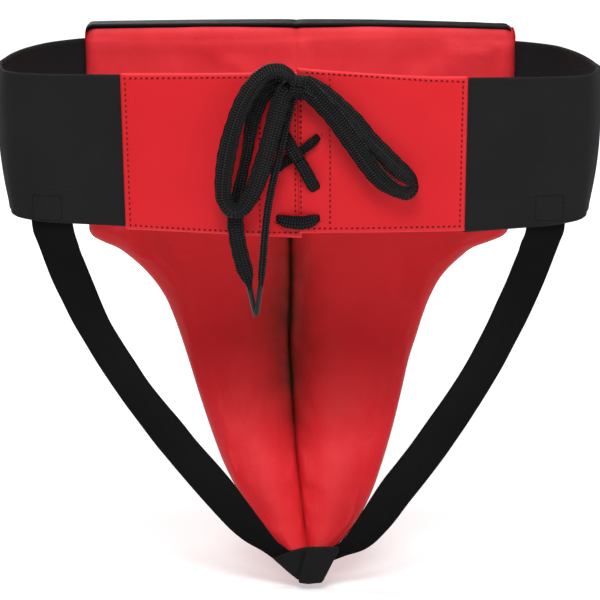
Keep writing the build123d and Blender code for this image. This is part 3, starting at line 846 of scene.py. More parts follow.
def band_heights(side, y, along, total):
    """heights of the band's top and bottom edges"""
    rise = 10.4 * max(0.0, (y + 36.0) / 111.0)
    hip = ramp(total - along, 0.0, 60.0)      # 0 at the panel, 1 round the hip
    top = float(np.interp(y, *BAND_TOP[side]))
    if side < 0:
        bottom = -37.6 + 2.6 * hip + rise * 0.9
    else:
        bottom = -40.6 + 4.0 * hip + rise * 0.85
        # it runs up out of sight under the panel's edge
        bottom += 1.5 * (1 - ease(ramp(total - along, 1.0, 4.5)))
    # rounded lower corner where the band turns the hip
    return top, bottom + (1.5 if side < 0 else 2.0) * bell(along, 17.0, 126.0)


def elastic(side, name):
    """a closed band: outer face, rolled top edge, inner face, bottom edge"""
    path, along = spline([(side * x, y) for x, y in BAND], 220)
    tangents = np.gradient(path, axis=0)
    tangents /= np.linalg.norm(tangents, axis=1)[:, None]
    normals = np.stack([-tangents[:, 1], tangents[:, 0]], 1) * side
    centre = np.array([0.0, 20.0])
    normals[(normals * (path - centre)).sum(1) < 0] *= -1
    rows = 40
    verts, uvs = [], []
    for point, normal, s in zip(path, normals, along):
        top, bottom = band_heights(side, point[1], s, along[-1])
        near = ramp(-point[1], 20, 20.0)
        # flat where it is sewn under the panel
        free = ramp(abs(point[0]), 90.0, 14.0) if point[1] < 0 else 1.0
        sway = 0.5 * fbm(s, 0, side * 5.0, 40.0, 2)
        hip_lean = (1 - near) * math.sin(math.pi * min(1.0, s / 165.0))

        def add(offset, z, uv_height):
            spot = point + normal * offset
            verts.append((spot[0], spot[1], z))
            uvs.append((s * MM, uv_height * MM))

        ring = []
        for t in np.linspace(0, 1, rows):
            z = bottom + (top - bottom) * t
            lean = -(6.4 * (1 - t) ** 3.0 + 0.8 * t ** 8) * hip_lean
            bow = 0.5 * math.sin(math.pi * t) * (1 - near)
            bead = 0.30 * (bell(t * (top - bottom), 1.8) + bell((1 - t) * (top - bottom), 1.8))
            ripple = 0.35 * fbm(s * 0.8, z * 0.35, side * 7.0, 18.0, 2)
            middle = (lean + bow + ripple + sway * (t - 0.5)) * free
            ring.append((middle, z, BAND_HALF_THICKNESS + bead * free))
        for middle, z, half in ring:
            add(middle + half, z, z - bottom)
        add(ring[-1][0], ring[-1][1] + 0.75, ring[-1][1] + 0.8 - bottom)
        for middle, z, half in ring[::-1]:
            add(middle - half, z, z - bottom)
        add(ring[0][0], ring[0][1] - 0.75, -0.8)
    cols = 2 * rows + 2
    faces = grid_faces(len(path), cols, close_cols=True)
    faces.append(tuple(range(cols))[::-1])
    last = (len(path) - 1) * cols
    faces.append(tuple(last + k for k in range(cols)))
    return make_mesh(name, verts, faces, uvs)


elastics = {}
for side, tag in SIDES:
    elastics[side] = elastic(side, "waist_elastic_%s_weave" % tag)
    dress(elastics[side], ELASTIC, blend=WAIST_BLEND,
          replaces=["waist_elastic_" + tag])

# ------------------------------------------------------------------ lacing panels
# x of the outer edge at its top and bottom and of the edge at the middle, then the heights of
# the top and bottom edges at the middle and at the outer edge
PANEL_EDGES = {-1: (-90.6, -88.6, 0.9, 41.6, 40.4, -42.8, -39.3),
               1: (85.6, 84.6, -1.2, 44.0, 38.9, -40.3, -40.0)}
EYELET_DIP_X = 10.5
EYELET_DIP_Z = (-34.0, -12.5, 9.5, 31.0)
SEAM_INSET = 2.4
# x of the dip along the inner line of stitches
GROOVE_X = {-1: -19.8, 1: 15.7}


def panel(side, name, relief=0.2):
    """one sheet of a lacing panel, with softly turned edges and pressed eyelet dips"""
    x_top, x_bottom, x_middle, top_in, top_out, bottom_in, bottom_out = PANEL_EDGES[side]
    cols, rows = 90, 78
    verts, painted_highlight = [], []
    for i in range(cols):
        u = i / (cols - 1)
        if side < 0:
            top = top_in + (top_out - top_in) * u
            bottom = bottom_in + (bottom_out - bottom_in) * (1 - (1 - u) ** 1.3)
        else:
            top = top_in + (top_out - top_in) * min(1.0, u * 1.25) ** 0.8
            bottom = bottom_in + (bottom_out - bottom_in) * u
        for j in range(rows):
            v = j / (rows - 1)
            x_outer = x_bottom + (x_top - x_bottom) * v
            x_inner = x_middle + (0.5 if side < 0 else 1.2) * (1 - v)
            width = abs(x_outer - x_inner)
            x = x_inner + (x_outer - x_inner) * u
            z = bottom + (top - bottom) * v
            edge_gap = min(v * (top - bottom), (1 - v) * (top - bottom), u * width,
                           (1 - u) * width)
            y = arc_y(max(-90.6, min(90.6, x)))
            # rolled edge, grooves of the stitch lines, padded field
            y += 0.9 * bell(edge_gap, 0.9)
            y += 0.28 * bell(edge_gap, 0.55, 2.5)
            y -= 0.35 * (1 - bell(edge_gap, 9.0))
            y += 0.30 * bell(abs(x - GROOVE_X[side]), 0.6)
            y += (relief * fbm(x * 0.9, z * 0.7, side * 4.0, 26.0, 3)
                  * (1 - bell(edge_gap, 5.0)))
            # the right panel's edge lies over the left panel's
            if side > 0:
                y -= 0.55 * math.exp(-max(0.0, x) / 5.0)
            else:
                y += 0.55 * math.exp(-max(0.0, -x) / 4.0)
            for eyelet_z in EYELET_DIP_Z:
                y += 0.5 * bell(math.hypot(x - side * EYELET_DIP_X, z - eyelet_z), 3.4)
            verts.append((x, y, z))
            # painted highlight along the turned edges of the panel
            painted_highlight.append(0.62 * bell(edge_gap, 0.75))
    uvs = [(x * MM, z * MM) for x, y, z in verts]
    ob = make_mesh(name, verts, grid_faces(cols, rows, flip=side > 0), uvs)
    add_attribute(ob, "painted_highlight", painted_highlight)
    return ob


def needle_hole(place, ahead, direction):
    """(verts, faces, uvs) of a small oval disc, long towards the point ahead; in the dark hole
    colour it is painted shade of a needle hole
    """
    run = np.array([ahead[0] - place[0], ahead[2] - place[2]])
    run /= max(np.linalg.norm(run), 1e-6)
    lift = -direction * 0.035
    verts = [(place[0], place[1] + lift - direction * 0.02, place[2])]
    for k in range(8):
        angle = 2 * math.pi * k / 8
        a = 0.86 * math.cos(angle)
        b = 0.58 * math.sin(angle)
        verts.append((place[0] + a * run[0] - b * run[1], place[1] + lift,
                      place[2] + a * run[1] + b * run[0]))
    return verts, [(0, 1 + k, 1 + (k + 1) % 8) for k in range(8)], [(0, 0)] * 9


def stitches(name, tree, lines, pitch=2.75, gap=1.25, lift=0.10, radius=0.28, start_y=-0.12,
             direction=1.0, with_holes=True):
    """threads, and the needle holes between them, along (x, z) lines on a surface that is
    found with rays along y from start_y (m); returns a list of one or two objects"""
    threads, holes = [], []
    for line in lines:
        points, along = spline(line, max(2, int(length_of(line) / 0.5)))
        total = along[-1]
        count = max(1, int(round(total / pitch)))
        step = total / count

        def on_surface(s):
            x = np.interp(s, along, points[:, 0])
            z = np.interp(s, along, points[:, 1])
            start = Vector((x * MM, start_y, z * MM))
            hit = tree.ray_cast(start, Vector((0, direction, 0)))[0]
            return None if hit is None else np.array([x, hit.y / MM, z])

        for k in range(count):
            ends = (k * step + gap / 2, (k + 1) * step - gap / 2)
            places = [on_surface(s) for s in np.linspace(*ends, 6)]
            if any(place is None for place in places):
                continue
            path = [place - np.array([0, direction * (lift * math.sin(math.pi * t) - 0.12), 0])
                    for place, t in zip(places, np.linspace(0, 1, 6))]
            threads.append(tube(path, radius, 6))
            place = on_surface(k * step)
            ahead = on_surface(min(total, k * step + 0.3))
            if place is not None and ahead is not None:
                holes.append(needle_hole(place, ahead, direction))
    made = [join_parts(name + "_thread", threads)]
    if with_holes:
        made.append(join_parts(name + "_holes", holes))
    return made


def panel_seams(side):
    """(x, z) stitch lines: bottom, outer edge, top, then two upright lines near the middle"""
    d = SEAM_INSET
    if side < 0:
        return [[(0.7 - d, -42.3 + d), (-30, -41.7 + d), (-60, -40.6 + d),
                 (-88.3 + d, -39.3 + d)],
                [(-88.3 + d, -39.3 + d), (-90.3 + d, 40.2 - d)],
                [(-90.3 + d, 40.2 - d), (-45, 40.9 - d), (0.9 - d, 41.4 - d)],
                [(-1.9, -39.8), (-2.0, 0.0), (-2.2, 39.0)],
                [(-19.6, -39.5), (-19.8, 0.0), (-20.0, 38.6)]]
    return [[(-0.2 + d, -40.2 + d), (40, -40.0 + d), (84.3 - d, -39.8 + d)],
            [(84.3 - d, -39.8 + d), (85.3 - d, 38.6 - d)],
            [(85.3 - d, 38.6 - d), (62, 39.6 - d), (30, 42.0 - d), (-1.2 + d, 43.8 - d)],
            [(1.3, -37.8), (0.9, 0.0), (0.9, 41.0)],
            [(15.7, -37.6), (15.6, 0.0), (15.5, 40.4)]]


def panel_lining(side, name):
    """the inside ply; its outer edge stands clear of the elastic it slides over"""
    ob = panel(side, name)
    for vert in ob.data.vertices:
        vert.co.y += 0.0037 + 0.0022 * ease(ramp(abs(vert.co.x), 0.052, 0.012))
        vert.co.x *= 0.9965
        vert.co.z *= 0.992
    thicken(ob, 0.9)
    return ob


def panel_canvas(side, name):
    """the smaller stiff ply between the sheet and the lining"""
    ob = panel(side, name)
    xs = [vert.co.x for vert in ob.data.vertices]
    middle = 0.5 * (max(xs) + min(xs))
    for vert in ob.data.vertices:
        vert.co.y += 0.0021
        vert.co.x = middle + (vert.co.x - middle) * 0.92
        vert.co.z *= 0.945
    thicken(ob, 1.0, offset=0.0)
    return ob


for side, tag in SIDES:
    body = "panel_" + tag
    sheet = panel(side, "lacing_panel_" + tag, relief=0.32)
    thread, holes = stitches("lacing_panel_" + tag, surface_tree(sheet), panel_seams(side))
    dress(thread, RED_THREAD, body)
    dress(holes, HOLE_SHADE, body)
    thicken(sheet, 1.15)
    dress(sheet, PANEL, body, replaces=["lace_panel_" + tag])
    dress(panel_lining(side, "lacing_panel_lining_" + tag), PANEL, body,
          replaces=["panel_lining_" + tag])
    dress(panel_canvas(side, "lacing_panel_canvas_" + tag), CANVAS, body,
          replaces=["panel_core_" + tag])

# ------------------------------------------------------------------ the lace
LACE_SIDES = 44
LACE_STEP = 0.45
LACE_RIB = 1.72


def lace(name, rows, width, depth, cut=None, start_taper=0.0, end_taper=0.0, tip=0.6,
         wobble=0.0, widths=None):
    """flat braided lace; rows are x, y, z and the direction its face looks.
    cut: "left" or "right" keeps the part on that side of x = 0.
    tip: width left at a tapered end. widths: (fraction of length, width factor)."""
    length = length_of([row[:3] for row in rows])
    samples, along = spline(rows, max(8, int(length / LACE_STEP)))
    path = samples[:, :3]
    normals = samples[:, 3:]
    tangents = np.gradient(path, axis=0)
    tangents /= np.linalg.norm(tangents, axis=1)[:, None]
    normals = normals - tangents * (normals * tangents).sum(1)[:, None]
    normals /= np.linalg.norm(normals, axis=1)[:, None]
    across = np.cross(tangents, normals)
    keep = np.arange(len(path))
    if cut == "left":
        keep = keep[path[:, 0] <= 0.30]
    elif cut == "right":
        keep = keep[path[:, 0] >= -0.30]
    verts, uvs, ribs = [], [], []
    for i in keep:
        s = along[i]
        w = width
        if widths:
            w *= float(np.interp(s / along[-1], *zip(*widths)))
        for taper, from_end in ((end_taper, along[-1] - s), (start_taper, s)):
            if from_end < taper:
                w *= tip + (1 - tip) * ease(from_end / taper)
        w *= 1 + 0.03 * math.sin(s * 0.9) + wobble * math.sin(s * 0.21 + 1.0)
        thick = depth * (width / w) ** 0.35
        perimeter = 0.0
        last = None
        for k in range(LACE_SIDES):
            angle = 2 * math.pi * k / LACE_SIDES
            rise = math.sin(angle)
            x = signed_power(math.cos(angle), 0.75) * w / 2
            y = signed_power(rise, 0.85) * thick / 2 * (1 - 0.22 * bell(x, w * 0.12))
            # lengthwise ribs and slanting yarns
            rib = math.cos(2 * math.pi * x / LACE_RIB)
            yarn = math.sin(s * 5.7 + abs((x / LACE_RIB) % 1.0 - 0.5) * 5.0)
            y += (0.15 * rib + 0.05 * yarn) * signed_power(rise, 0.6)
            ribs.append(0.5 + 0.5 * rib)
            spot = path[i] + across[i] * x + normals[i] * y
            if last is not None:
                perimeter += math.dist(spot, last)
            last = spot
            verts.append(spot)
            uvs.append((s * MM, perimeter * MM))
    faces = grid_faces(len(keep), LACE_SIDES, close_cols=True)
    for end in (0, len(keep) - 1):
        x = path[keep[end], 0]
        # the cut end stays open
        if (cut == "left" and x > -1) or (cut == "right" and x < 1):
            continue
        ring = tuple(end * LACE_SIDES + k for k in range(LACE_SIDES))
        faces.append(ring[::-1] if end == 0 else ring)
    ob = make_mesh(name, verts, faces, uvs)
    add_attribute(ob, "rib", ribs)
    return ob


def unit_rows(rows):
    """lace rows with their facing directions made one long"""
    return [(*row[:3], *unit(*row[3:])) for row in rows]


# strands between the eyelets: width, then rows of x, y, z and facing direction
STRANDS = {
    "bar": (6.9, [
        (-11.2, -43.6, -32.6, -0.95, -0.3, 0), (-10.8, -46.4, -32.6, -0.85, -0.5, 0),
        (-9.6, -49.2, -32.9, -0.5, -0.85, 0), (-6.6, -50.9, -33.7, 0, -1, 0),
        (-2.0, -51.6, -34.2, 0, -1, 0), (3.0, -51.5, -34.2, 0, -1, 0),
        (6.8, -50.6, -33.3, 0, -1, 0), (9.0, -48.8, -32.6, 0.5, -0.85, 0),
        (9.7, -46.2, -32.3, 0.85, -0.5, 0), (9.9, -43.6, -32.2, 0.95, -0.3, 0)]),
    "cross_a": (6.6, unit_rows([
        (-11.6, -43.6, 17.2, -0.5, -0.5, 0.7), (-10.9, -46.4, 16.4, -0.4, -0.7, 0.5),
        (-9.8, -49.6, 14.2, -0.3, -0.85, 0.4), (-7.0, -51.8, 9.6, -0.1, -1, 0.1),
        (-3.6, -52.8, 3.6, 0, -1, 0), (-0.6, -52.9, -1.4, 0, -1, 0),
        (3.0, -52.2, -7.4, 0, -1, 0), (6.2, -50.9, -13.6, 0.1, -1, -0.1),
        (8.0, -48.9, -16.8, 0.3, -0.75, -0.5), (8.7, -46.2, -18.0, 0.45, -0.45, -0.7),
        (8.9, -43.6, -18.4, 0.5, -0.3, -0.8)])),
    "cross_b": (4.9, unit_rows([
        (-14.6, -43.6, -9.6, -0.8, -0.3, -0.4), (-14.2, -46.4, -9.3, -0.7, -0.6, -0.3),
        (-13.0, -48.8, -8.4, -0.3, -0.9, -0.2), (-9.6, -50.0, -5.6, 0, -1, 0),
        (-4.0, -50.3, -1.6, 0, -1, 0), (0.0, -50.3, 1.4, 0, -1, 0),
        (4.0, -50.2, 4.2, 0, -1, 0), (7.0, -49.8, 6.6, 0.1, -1, 0.1),
        (8.9, -48.2, 8.4, 0.45, -0.75, 0.4), (9.6, -46.0, 9.2, 0.7, -0.4, 0.6),
        (9.8, -43.6, 9.5, 0.75, -0.3, 0.6)])),
    "rise": (6.0, unit_rows([
        (-9.4, -43.6, 31.4, -0.8, -0.3, 0), (-9.0, -46.4, 31.6, -0.7, -0.6, 0),
        (-8.0, -49.2, 32.0, -0.4, -0.9, 0), (-5.0, -51.2, 33.4, 0, -1, 0),
        (-2.0, -51.6, 34.4, 0, -1, 0), (0.0, -51.6, 34.8, 0, -1, 0),
        (2.6, -51.4, 34.4, 0, -1, 0), (5.0, -51.0, 33.4, 0, -1, 0),
        (7.6, -49.2, 32.0, 0.4, -0.9, 0), (8.6, -46.4, 31.4, 0.7, -0.6, 0),
        (9.0, -43.6, 31.2, 0.8, -0.3, 0)])),
}
# the strands behind the panels, all 5.4 wide and facing +y: x, y, z
HIDDEN_STRANDS = {
    "in_1": [(-11.2, -44.4, -32.9), (-10.2, -42.4, -32.4), (-6.0, -41.6, -29.2),
             (0.0, -41.4, -25.6), (5.4, -41.6, -21.4), (8.2, -42.4, -18.8), (8.9, -44.4, -18.4)],
    "in_2": [(-14.6, -44.4, -9.6), (-13.0, -42.4, -11.4), (-7.0, -39.9, -17.0),
             (0.0, -39.7, -22.4), (6.0, -39.9, -28.2), (9.2, -42.4, -31.8), (10.1, -44.4, -32.4)],
    "in_3": [(-11.6, -44.4, 17.2), (-10.4, -42.4, 18.0), (-6.0, -41.6, 20.6),
             (0.0, -41.4, 24.2), (5.0, -41.6, 27.6), (8.4, -42.4, 30.4), (9.0, -44.4, 31.2)],
    "in_4": [(-9.4, -44.4, 31.4), (-8.6, -42.4, 30.2), (-5.6, -39.9, 25.6),
             (0.0, -39.7, 20.2), (5.4, -39.9, 14.4), (9.0, -42.4, 10.4), (9.8, -44.4, 9.5)],
}
for key, places in HIDDEN_STRANDS.items():
    STRANDS[key] = (5.4, [(*place, 0, 1, 0) for place in places])

for key, (width, rows) in STRANDS.items():
    taper, tip = (12.0, 0.40) if key == "bar" else (9.0, 0.6)
    for side, tag in SIDES:
        ob = lace("lace_%s_%s" % (key, tag), rows, width, 2.3, cut=tag, start_taper=taper,
                  end_taper=taper, tip=tip)
        stands_for_all = key == "bar" and side < 0
        dress(ob, LACE,
              blend=("closure", "panel_" + tag, (side * 0.0006, -0.048, 0),
                     (side * 0.0085, -0.048, 0)),
              replaces=["lace_crossings"] if stands_for_all else ())

# eyelets: x, z of each hole, and the profile of its pressed rim as radius, y offset
EYELETS = {-1: ((-10.6, -33.0), (-13.9, -9.2), (-10.8, 16.2), (-9.0, 31.5)),
           1: ((9.6, -32.5), (8.4, -17.8), (9.4, 9.1), (8.5, 31.4))}
EYELET_PROFILE = ((2.75, 0.10), (2.45, -0.10), (2.15, -0.06), (1.95, 0.3), (1.8, 1.1),
                  (0.02, 1.3))


def eyelet(x, z):
    verts = []
    sides = 24
    for radius, offset in EYELET_PROFILE:
        for k in range(sides):
            angle = 2 * math.pi * k / sides
            verts.append((x + radius * math.cos(angle), arc_y(abs(x)) + offset + 0.32,
                          z + radius * math.sin(angle)))
    uvs = [(vert[0] * MM, vert[2] * MM) for vert in verts]
    return verts, grid_faces(len(EYELET_PROFILE), sides, close_cols=True), uvs


# the eyelet dips are dressed in the hole colour: painted shade inside the holes
for side, tag in SIDES:
    ob = join_parts("eyelet_rims_" + tag, [eyelet(x, z) for x, z in EYELETS[side]])
    dress(ob, HOLE_SHADE, "panel_" + tag)

# the bow, as rows of x, y, z and facing direction; the left end hangs nearest the panel, the
# right end in front of it and the loops in front of both
LOOP_LEFT = [
    (-2.0, -57.6, 38.2, 0.1, -0.6, 0.9), (-6.0, -60.2, 41.8, 0.0, -0.7, 0.75),
    (-11.5, -62.4, 43.7, -0.2, -0.8, 0.7), (-17.0, -63.4, 41.8, -0.35, -0.88, 0.45),
    (-22.6, -63.6, 36.2, -0.36, -0.92, 0.3), (-27.2, -63.4, 28.7, -0.33, -0.94, 0.2),
    (-31.2, -63.2, 19.5, -0.28, -0.97, 0.1), (-34.4, -62.9, 8.9, -0.25, -0.98, 0.05),
    (-36.8, -62.6, -2.9, -0.26, -0.97, -0.02), (-38.0, -62.3, -13.7, -0.36, -0.9, -0.1),
    (-37.2, -62.2, -21.9, -0.45, -0.8, -0.3), (-33.3, -62.0, -27.0, -0.12, -0.75, -0.6),
    (-28.4, -61.8, -25.6, 0.32, -0.8, -0.4), (-24.0, -61.7, -19.2, 0.34, -0.93, -0.12),
    (-20.0, -61.6, -9.4, 0.24, -0.97, -0.03), (-16.4, -61.6, 1.9, 0.16, -0.98, 0.0),
    (-13.2, -61.7, 13.4, 0.12, -0.99, 0.0), (-10.4, -61.4, 23.7, 0.12, -0.98, 0.05),
    (-7.4, -59.9, 31.8, 0.12, -0.95, 0.1), (-3.0, -56.8, 35.5, 0.1, -0.9, 0.3)]
LOOP_RIGHT = [
    (2.0, -57.0, 35.6, -0.1, -0.9, 0.3), (6.4, -58.8, 32.0, -0.3, -0.95, 0.0),
    (11.6, -60.4, 26.6, -0.3, -0.93, -0.2), (19.2, -61.2, 18.1, -0.28, -0.94, -0.2),
    (27.4, -61.1, 6.7, -0.25, -0.95, -0.2), (34.7, -60.6, -3.9, -0.25, -0.93, -0.25),
    (42.2, -60.0, -12.3, -0.25, -0.86, -0.4), (49.8, -59.2, -17.1, -0.1, -0.72, -0.7),
    (55.4, -58.3, -18.2, 0.70, -0.55, -0.5), (57.8, -57.4, -15.4, 0.92, -0.4, 0.2),
    (55.2, -56.9, -10.6, 0.55, -0.65, 0.55), (49.0, -56.6, -5.4, 0.36, -0.84, 0.4),
    (42.3, -56.5, 1.4, 0.30, -0.88, 0.35), (34.7, -56.5, 8.9, 0.30, -0.88, 0.35),
    (27.4, -56.7, 17.8, 0.28, -0.88, 0.36), (18.8, -57.0, 26.2, 0.25, -0.85, 0.4),
    (11.0, -57.3, 32.6, 0.2, -0.75, 0.55), (3.5, -56.8, 36.8, 0.1, -0.7, 0.7)]
END_LEFT = [
    (-3.5, -54.0, 34.6, 0, -1, 0.2), (-11.0, -55.0, 35.6, 0.0, -1, 0.3),
    (-17.4, -55.4, 31.6, -0.1, -0.9, 0.3), (-21.6, -55.4, 23.6, -0.12, -0.97, 0.1),
    (-24.2, -55.3, 13.8, -0.12, -0.97, 0.05), (-25.8, -55.2, 3.0, -0.12, -0.97, 0),
    (-27.9, -55.1, -6.6, -0.12, -0.97, 0), (-29.9, -55.0, -15.6, -0.12, -0.97, 0),
    (-31.6, -54.9, -25.4, -0.12, -0.97, 0), (-32.1, -54.8, -34.0, -0.1, -1, 0),
    (-30.9, -54.6, -44.0, 0.05, -1, 0), (-28.9, -54.3, -53.0, 0.1, -1, 0),
    (-26.4, -53.8, -61.6, 0.1, -1, 0), (-25.4, -53.4, -65.6, 0.1, -1, 0),
    (-24.8, -53.2, -68.6, 0.1, -1, 0)]
END_RIGHT = [
    (-2.5, -56.5, 30.3, -0.2, -1, 0), (-5.2, -57.8, 20.4, -0.3, -0.95, 0),
    (-7.6, -58.2, 10.4, -0.35, -0.95, 0), (-10.0, -58.3, -0.6, -0.35, -0.95, 0),
    (-13.0, -58.3, -12.2, -0.35, -0.95, 0), (-15.6, -58.1, -25.6, -0.35, -0.95, 0),
    (-17.0, -57.8, -37.7, -0.35, -0.95, 0), (-18.0, -57.4, -49.8, -0.35, -0.95, 0),
    (-18.9, -56.7, -60.0, -0.35, -0.95, 0), (-19.3, -56.4, -65.6, -0.4, -0.92, 0),
    (-19.6, -56.3, -67.6, -0.4, -0.92, 0)]
END_LEFT_WIDTHS = [(0.0, 0.9), (0.08, 1.05), (0.22, 1.0), (0.34, 0.72), (0.46, 0.62),
                   (0.58, 0.82), (0.68, 1.0), (1.0, 1.0)]


def bow_piece(name, body, rows, width, depth, **shape):
    """a loop or free end of the bow, standing for the CAD piece it follows"""
    dress(lace(name, unit_rows(rows), width, depth, **shape), LACE, body,
          replaces=[body])


bow_piece("bow_loop_left_lace", "bow_loop_left", LOOP_LEFT, 9.5, 2.5, wobble=0.03)
bow_piece("bow_loop_right_lace", "bow_loop_right", LOOP_RIGHT, 10.3, 2.5, wobble=0.03)
bow_piece("lace_end_left_braid", "lace_end_left", END_LEFT, 8.4, 2.2, end_taper=11.0, tip=0.30,
          widths=END_LEFT_WIDTHS)
bow_piece("lace_end_right_braid", "lace_end_right", END_RIGHT, 3.9, 1.9, end_taper=9.0)


def aglet(name, start, end, start_radius=1.55, end_radius=1.25):
    start = np.array(start, float)
    end = np.array(end, float)
    length = np.linalg.norm(end - start)
    axis = (end - start) / length
    across = np.cross(axis, (0, 1, 0))
    across /= np.linalg.norm(across)
    outward = np.cross(axis, across)
    # distance along, radius: crimped mouth, straight taper, rounded tip
    profile = [(s, start_radius + dr) for s, dr in (
        (0.0, -0.45), (0.02, -0.1), (0.25, 0.02), (0.7, 0.04), (1.2, -0.10), (1.7, -0.02),
        (3.0, -0.02))]
    profile += [(length * t, start_radius + (end_radius - start_radius) * t)
                for t in (0.3, 0.5, 0.7, 0.9)]
    profile += [(length - 0.7, end_radius), (length - 0.25, end_radius * 0.86),
                (length, end_radius * 0.5), (length + 0.02, 0.02)]
    verts, uvs = [], []
    sides = 20
    for s, radius in profile:
        for k in range(sides):
            angle = 2 * math.pi * k / sides
            flat = 1 - 0.22 * (0.5 + 0.5 * math.cos(2 * angle))
            # the overlap of the rolled film leaves one fine ridge
            ridge = 0.10 if k == 3 and radius > 0.5 else 0.0
            ray = math.cos(angle) * across + math.sin(angle) * outward * flat
            verts.append(start + axis * s + ray * (radius + ridge))
            uvs.append((s * MM, angle * radius * MM))
    return make_mesh(name, verts, grid_faces(len(profile), sides, close_cols=True), uvs)


dress(aglet("aglet_left_tip", (-25.35, -53.2, -66.4), (-21.9, -53.2, -82.4)),
      AGLET, "lace_end_left", replaces=["aglet_left"])
dress(aglet("aglet_right_tip", (-19.4, -56.3, -65.4), (-21.6, -56.3, -81.4),
            start_radius=1.45, end_radius=1.2),
      AGLET, "lace_end_right", replaces=["aglet_right"])

# the knot: the middle wrap, the turn under it and a lower turn
KNOT_WRAP = []
for k in range(17):
    angle = 2 * math.pi * k / 16
    sine = math.sin(angle)
    cosine = math.cos(angle)
    KNOT_WRAP.append((-0.6 + 1.0 * sine, -55.6 - 4.2 * cosine, 35.2 + 4.6 * sine,
                      0.08, -cosine, sine))
KNOT_TURN = [
    (-7.2, -54.2, 33.0, -0.6, -0.8, 0), (-4.0, -56.4, 33.8, -0.2, -1, 0),
    (0.0, -57.2, 35.2, 0, -1, 0), (4.0, -56.6, 36.4, 0.2, -1, 0),
    (7.4, -54.4, 36.8, 0.6, -0.8, 0)]
KNOT_LOW_TURN = [
    (-5.6, -53.2, 35.4, -0.5, -0.8, -0.3), (-2.6, -55.2, 32.6, -0.2, -0.8, -0.5),
    (0.6, -55.6, 31.0, 0, -0.8, -0.6), (4.0, -55.0, 31.6, 0.3, -0.8, -0.5),
    (6.2, -53.2, 33.8, 0.6, -0.7, -0.2)]
for name, rows, width, depth, taper, replaced in (
        ("lace_knot_wrap", KNOT_WRAP, 7.8, 2.5, 0.0, ["lace_knot"]),
        ("lace_knot_turn", KNOT_TURN, 8.4, 2.8, 3, ()),
        ("lace_knot_low_turn", KNOT_LOW_TURN, 6.6, 2.4, 3, ())):
    dress(lace(name, unit_rows(rows), width, depth, start_taper=taper, end_taper=taper),
          LACE, "closure", replaces=replaced)

# ------------------------------------------------------------------ leg straps
# from the waistband down to the tab: outer edge x, y, z, then inner edge x, y, z
STRAP_ROWS = {
    -1: [
        (-138.4, -30.4, -22.0, -117.6, -35.0, -22.0), (-138.0, -30.5, -32.0, -116.8, -35.0, -32.0),
        (-136.9, -30.8, -41.8, -115.3, -34.8, -41.8), (-134.9, -31.2, -47.1, -113.8, -34.0, -47.1),
        (-133.0, -31.4, -52.3, -112.4, -32.8, -52.3), (-131.2, -31.0, -57.7, -110.4, -32.3, -57.5),
        (-127.4, -29.0, -68.5, -106.4, -31.9, -68.0), (-122.7, -26.5, -79.5, -102.5, -31.3, -78.6),
        (-117.9, -23.6, -90.6, -98.1, -30.4, -89.3), (-112.0, -20.8, -101.8, -92.1, -28.8, -100.2),
        (-106.1, -18.4, -112.9, -85.6, -26.4, -111.3), (-99.6, -15.8, -124.2, -79.1, -23.8, -122.5),
        (-92.6, -12.9, -135.6, -71.0, -20.9, -133.9), (-85.0, -10.0, -147.1, -62.3, -18.0, -145.3),
        (-77.2, -6.9, -158.8, -54.0, -14.9, -156.9), (-68.6, -3.9, -170.5, -44.7, -11.9, -168.5),
        (-59.8, -0.8, -182.3, -35.8, -8.8, -180.2), (-50.6, 0.9, -193.8, -27.9, -5.5, -192.1),
        (-40.8, 1.5, -205.1, -19.9, -1.7, -204.2), (-35.4, 1.7, -210.7, -16.0, 0.1, -210.3),
        (-28.6, 1.9, -216.3, -11.6, 1.5, -216.3), (-19.4, 2.2, -221.8, -5.6, 2.2, -221.0),
        (-12.2, 2.5, -227.2, -1.0, 2.5, -224.6), (-6.4, 2.7, -232.0, 3.0, 2.7, -228.0)],
    1: [
        (137.8, -30.4, -22.0, 117.4, -35.0, -22.0), (137.2, -30.5, -32.0, 117.0, -35.0, -32.0),
        (136.4, -30.8, -41.8, 116.3, -34.8, -41.8), (134.4, -31.2, -47.1, 114.3, -34.0, -47.1),
        (132.5, -31.4, -52.3, 112.9, -32.8, -52.3), (130.6, -31.0, -57.7, 110.9, -32.3, -57.5),
        (126.9, -29.0, -68.5, 107.0, -31.9, -68.0), (122.7, -26.5, -79.5, 102.5, -31.3, -78.6),
        (118.2, -23.6, -90.6, 98.1, -30.4, -89.3), (113.1, -20.8, -101.8, 93.1, -28.8, -100.2),
        (108.0, -18.4, -112.9, 87.8, -26.4, -111.3), (102.3, -15.8, -124.2, 81.7, -23.8, -122.5),
        (96.3, -12.9, -135.6, 75.0, -20.9, -133.9), (89.8, -10.0, -147.1, 67.7, -18.0, -145.3),
        (82.8, -6.9, -158.8, 60.4, -14.9, -156.9), (75.5, -3.9, -170.5, 52.6, -11.9, -168.5),
        (67.6, -0.8, -182.3, 44.4, -8.8, -180.2), (59.3, 0.9, -193.8, 37.5, -5.5, -192.1),
        (51.3, 1.5, -205.1, 30.7, -1.7, -204.2), (46.6, 1.7, -210.7, 27.0, 0.1, -210.3),
        (40.6, 1.9, -216.9, 22.6, 1.4, -216.0), (34.8, 2.1, -220.9, 19.6, 2.0, -218.6),
        (25.0, 2.3, -224.2, 15.0, 2.2, -220.6), (16.0, 2.4, -227.8, 9.0, 2.4, -224.0)],
}


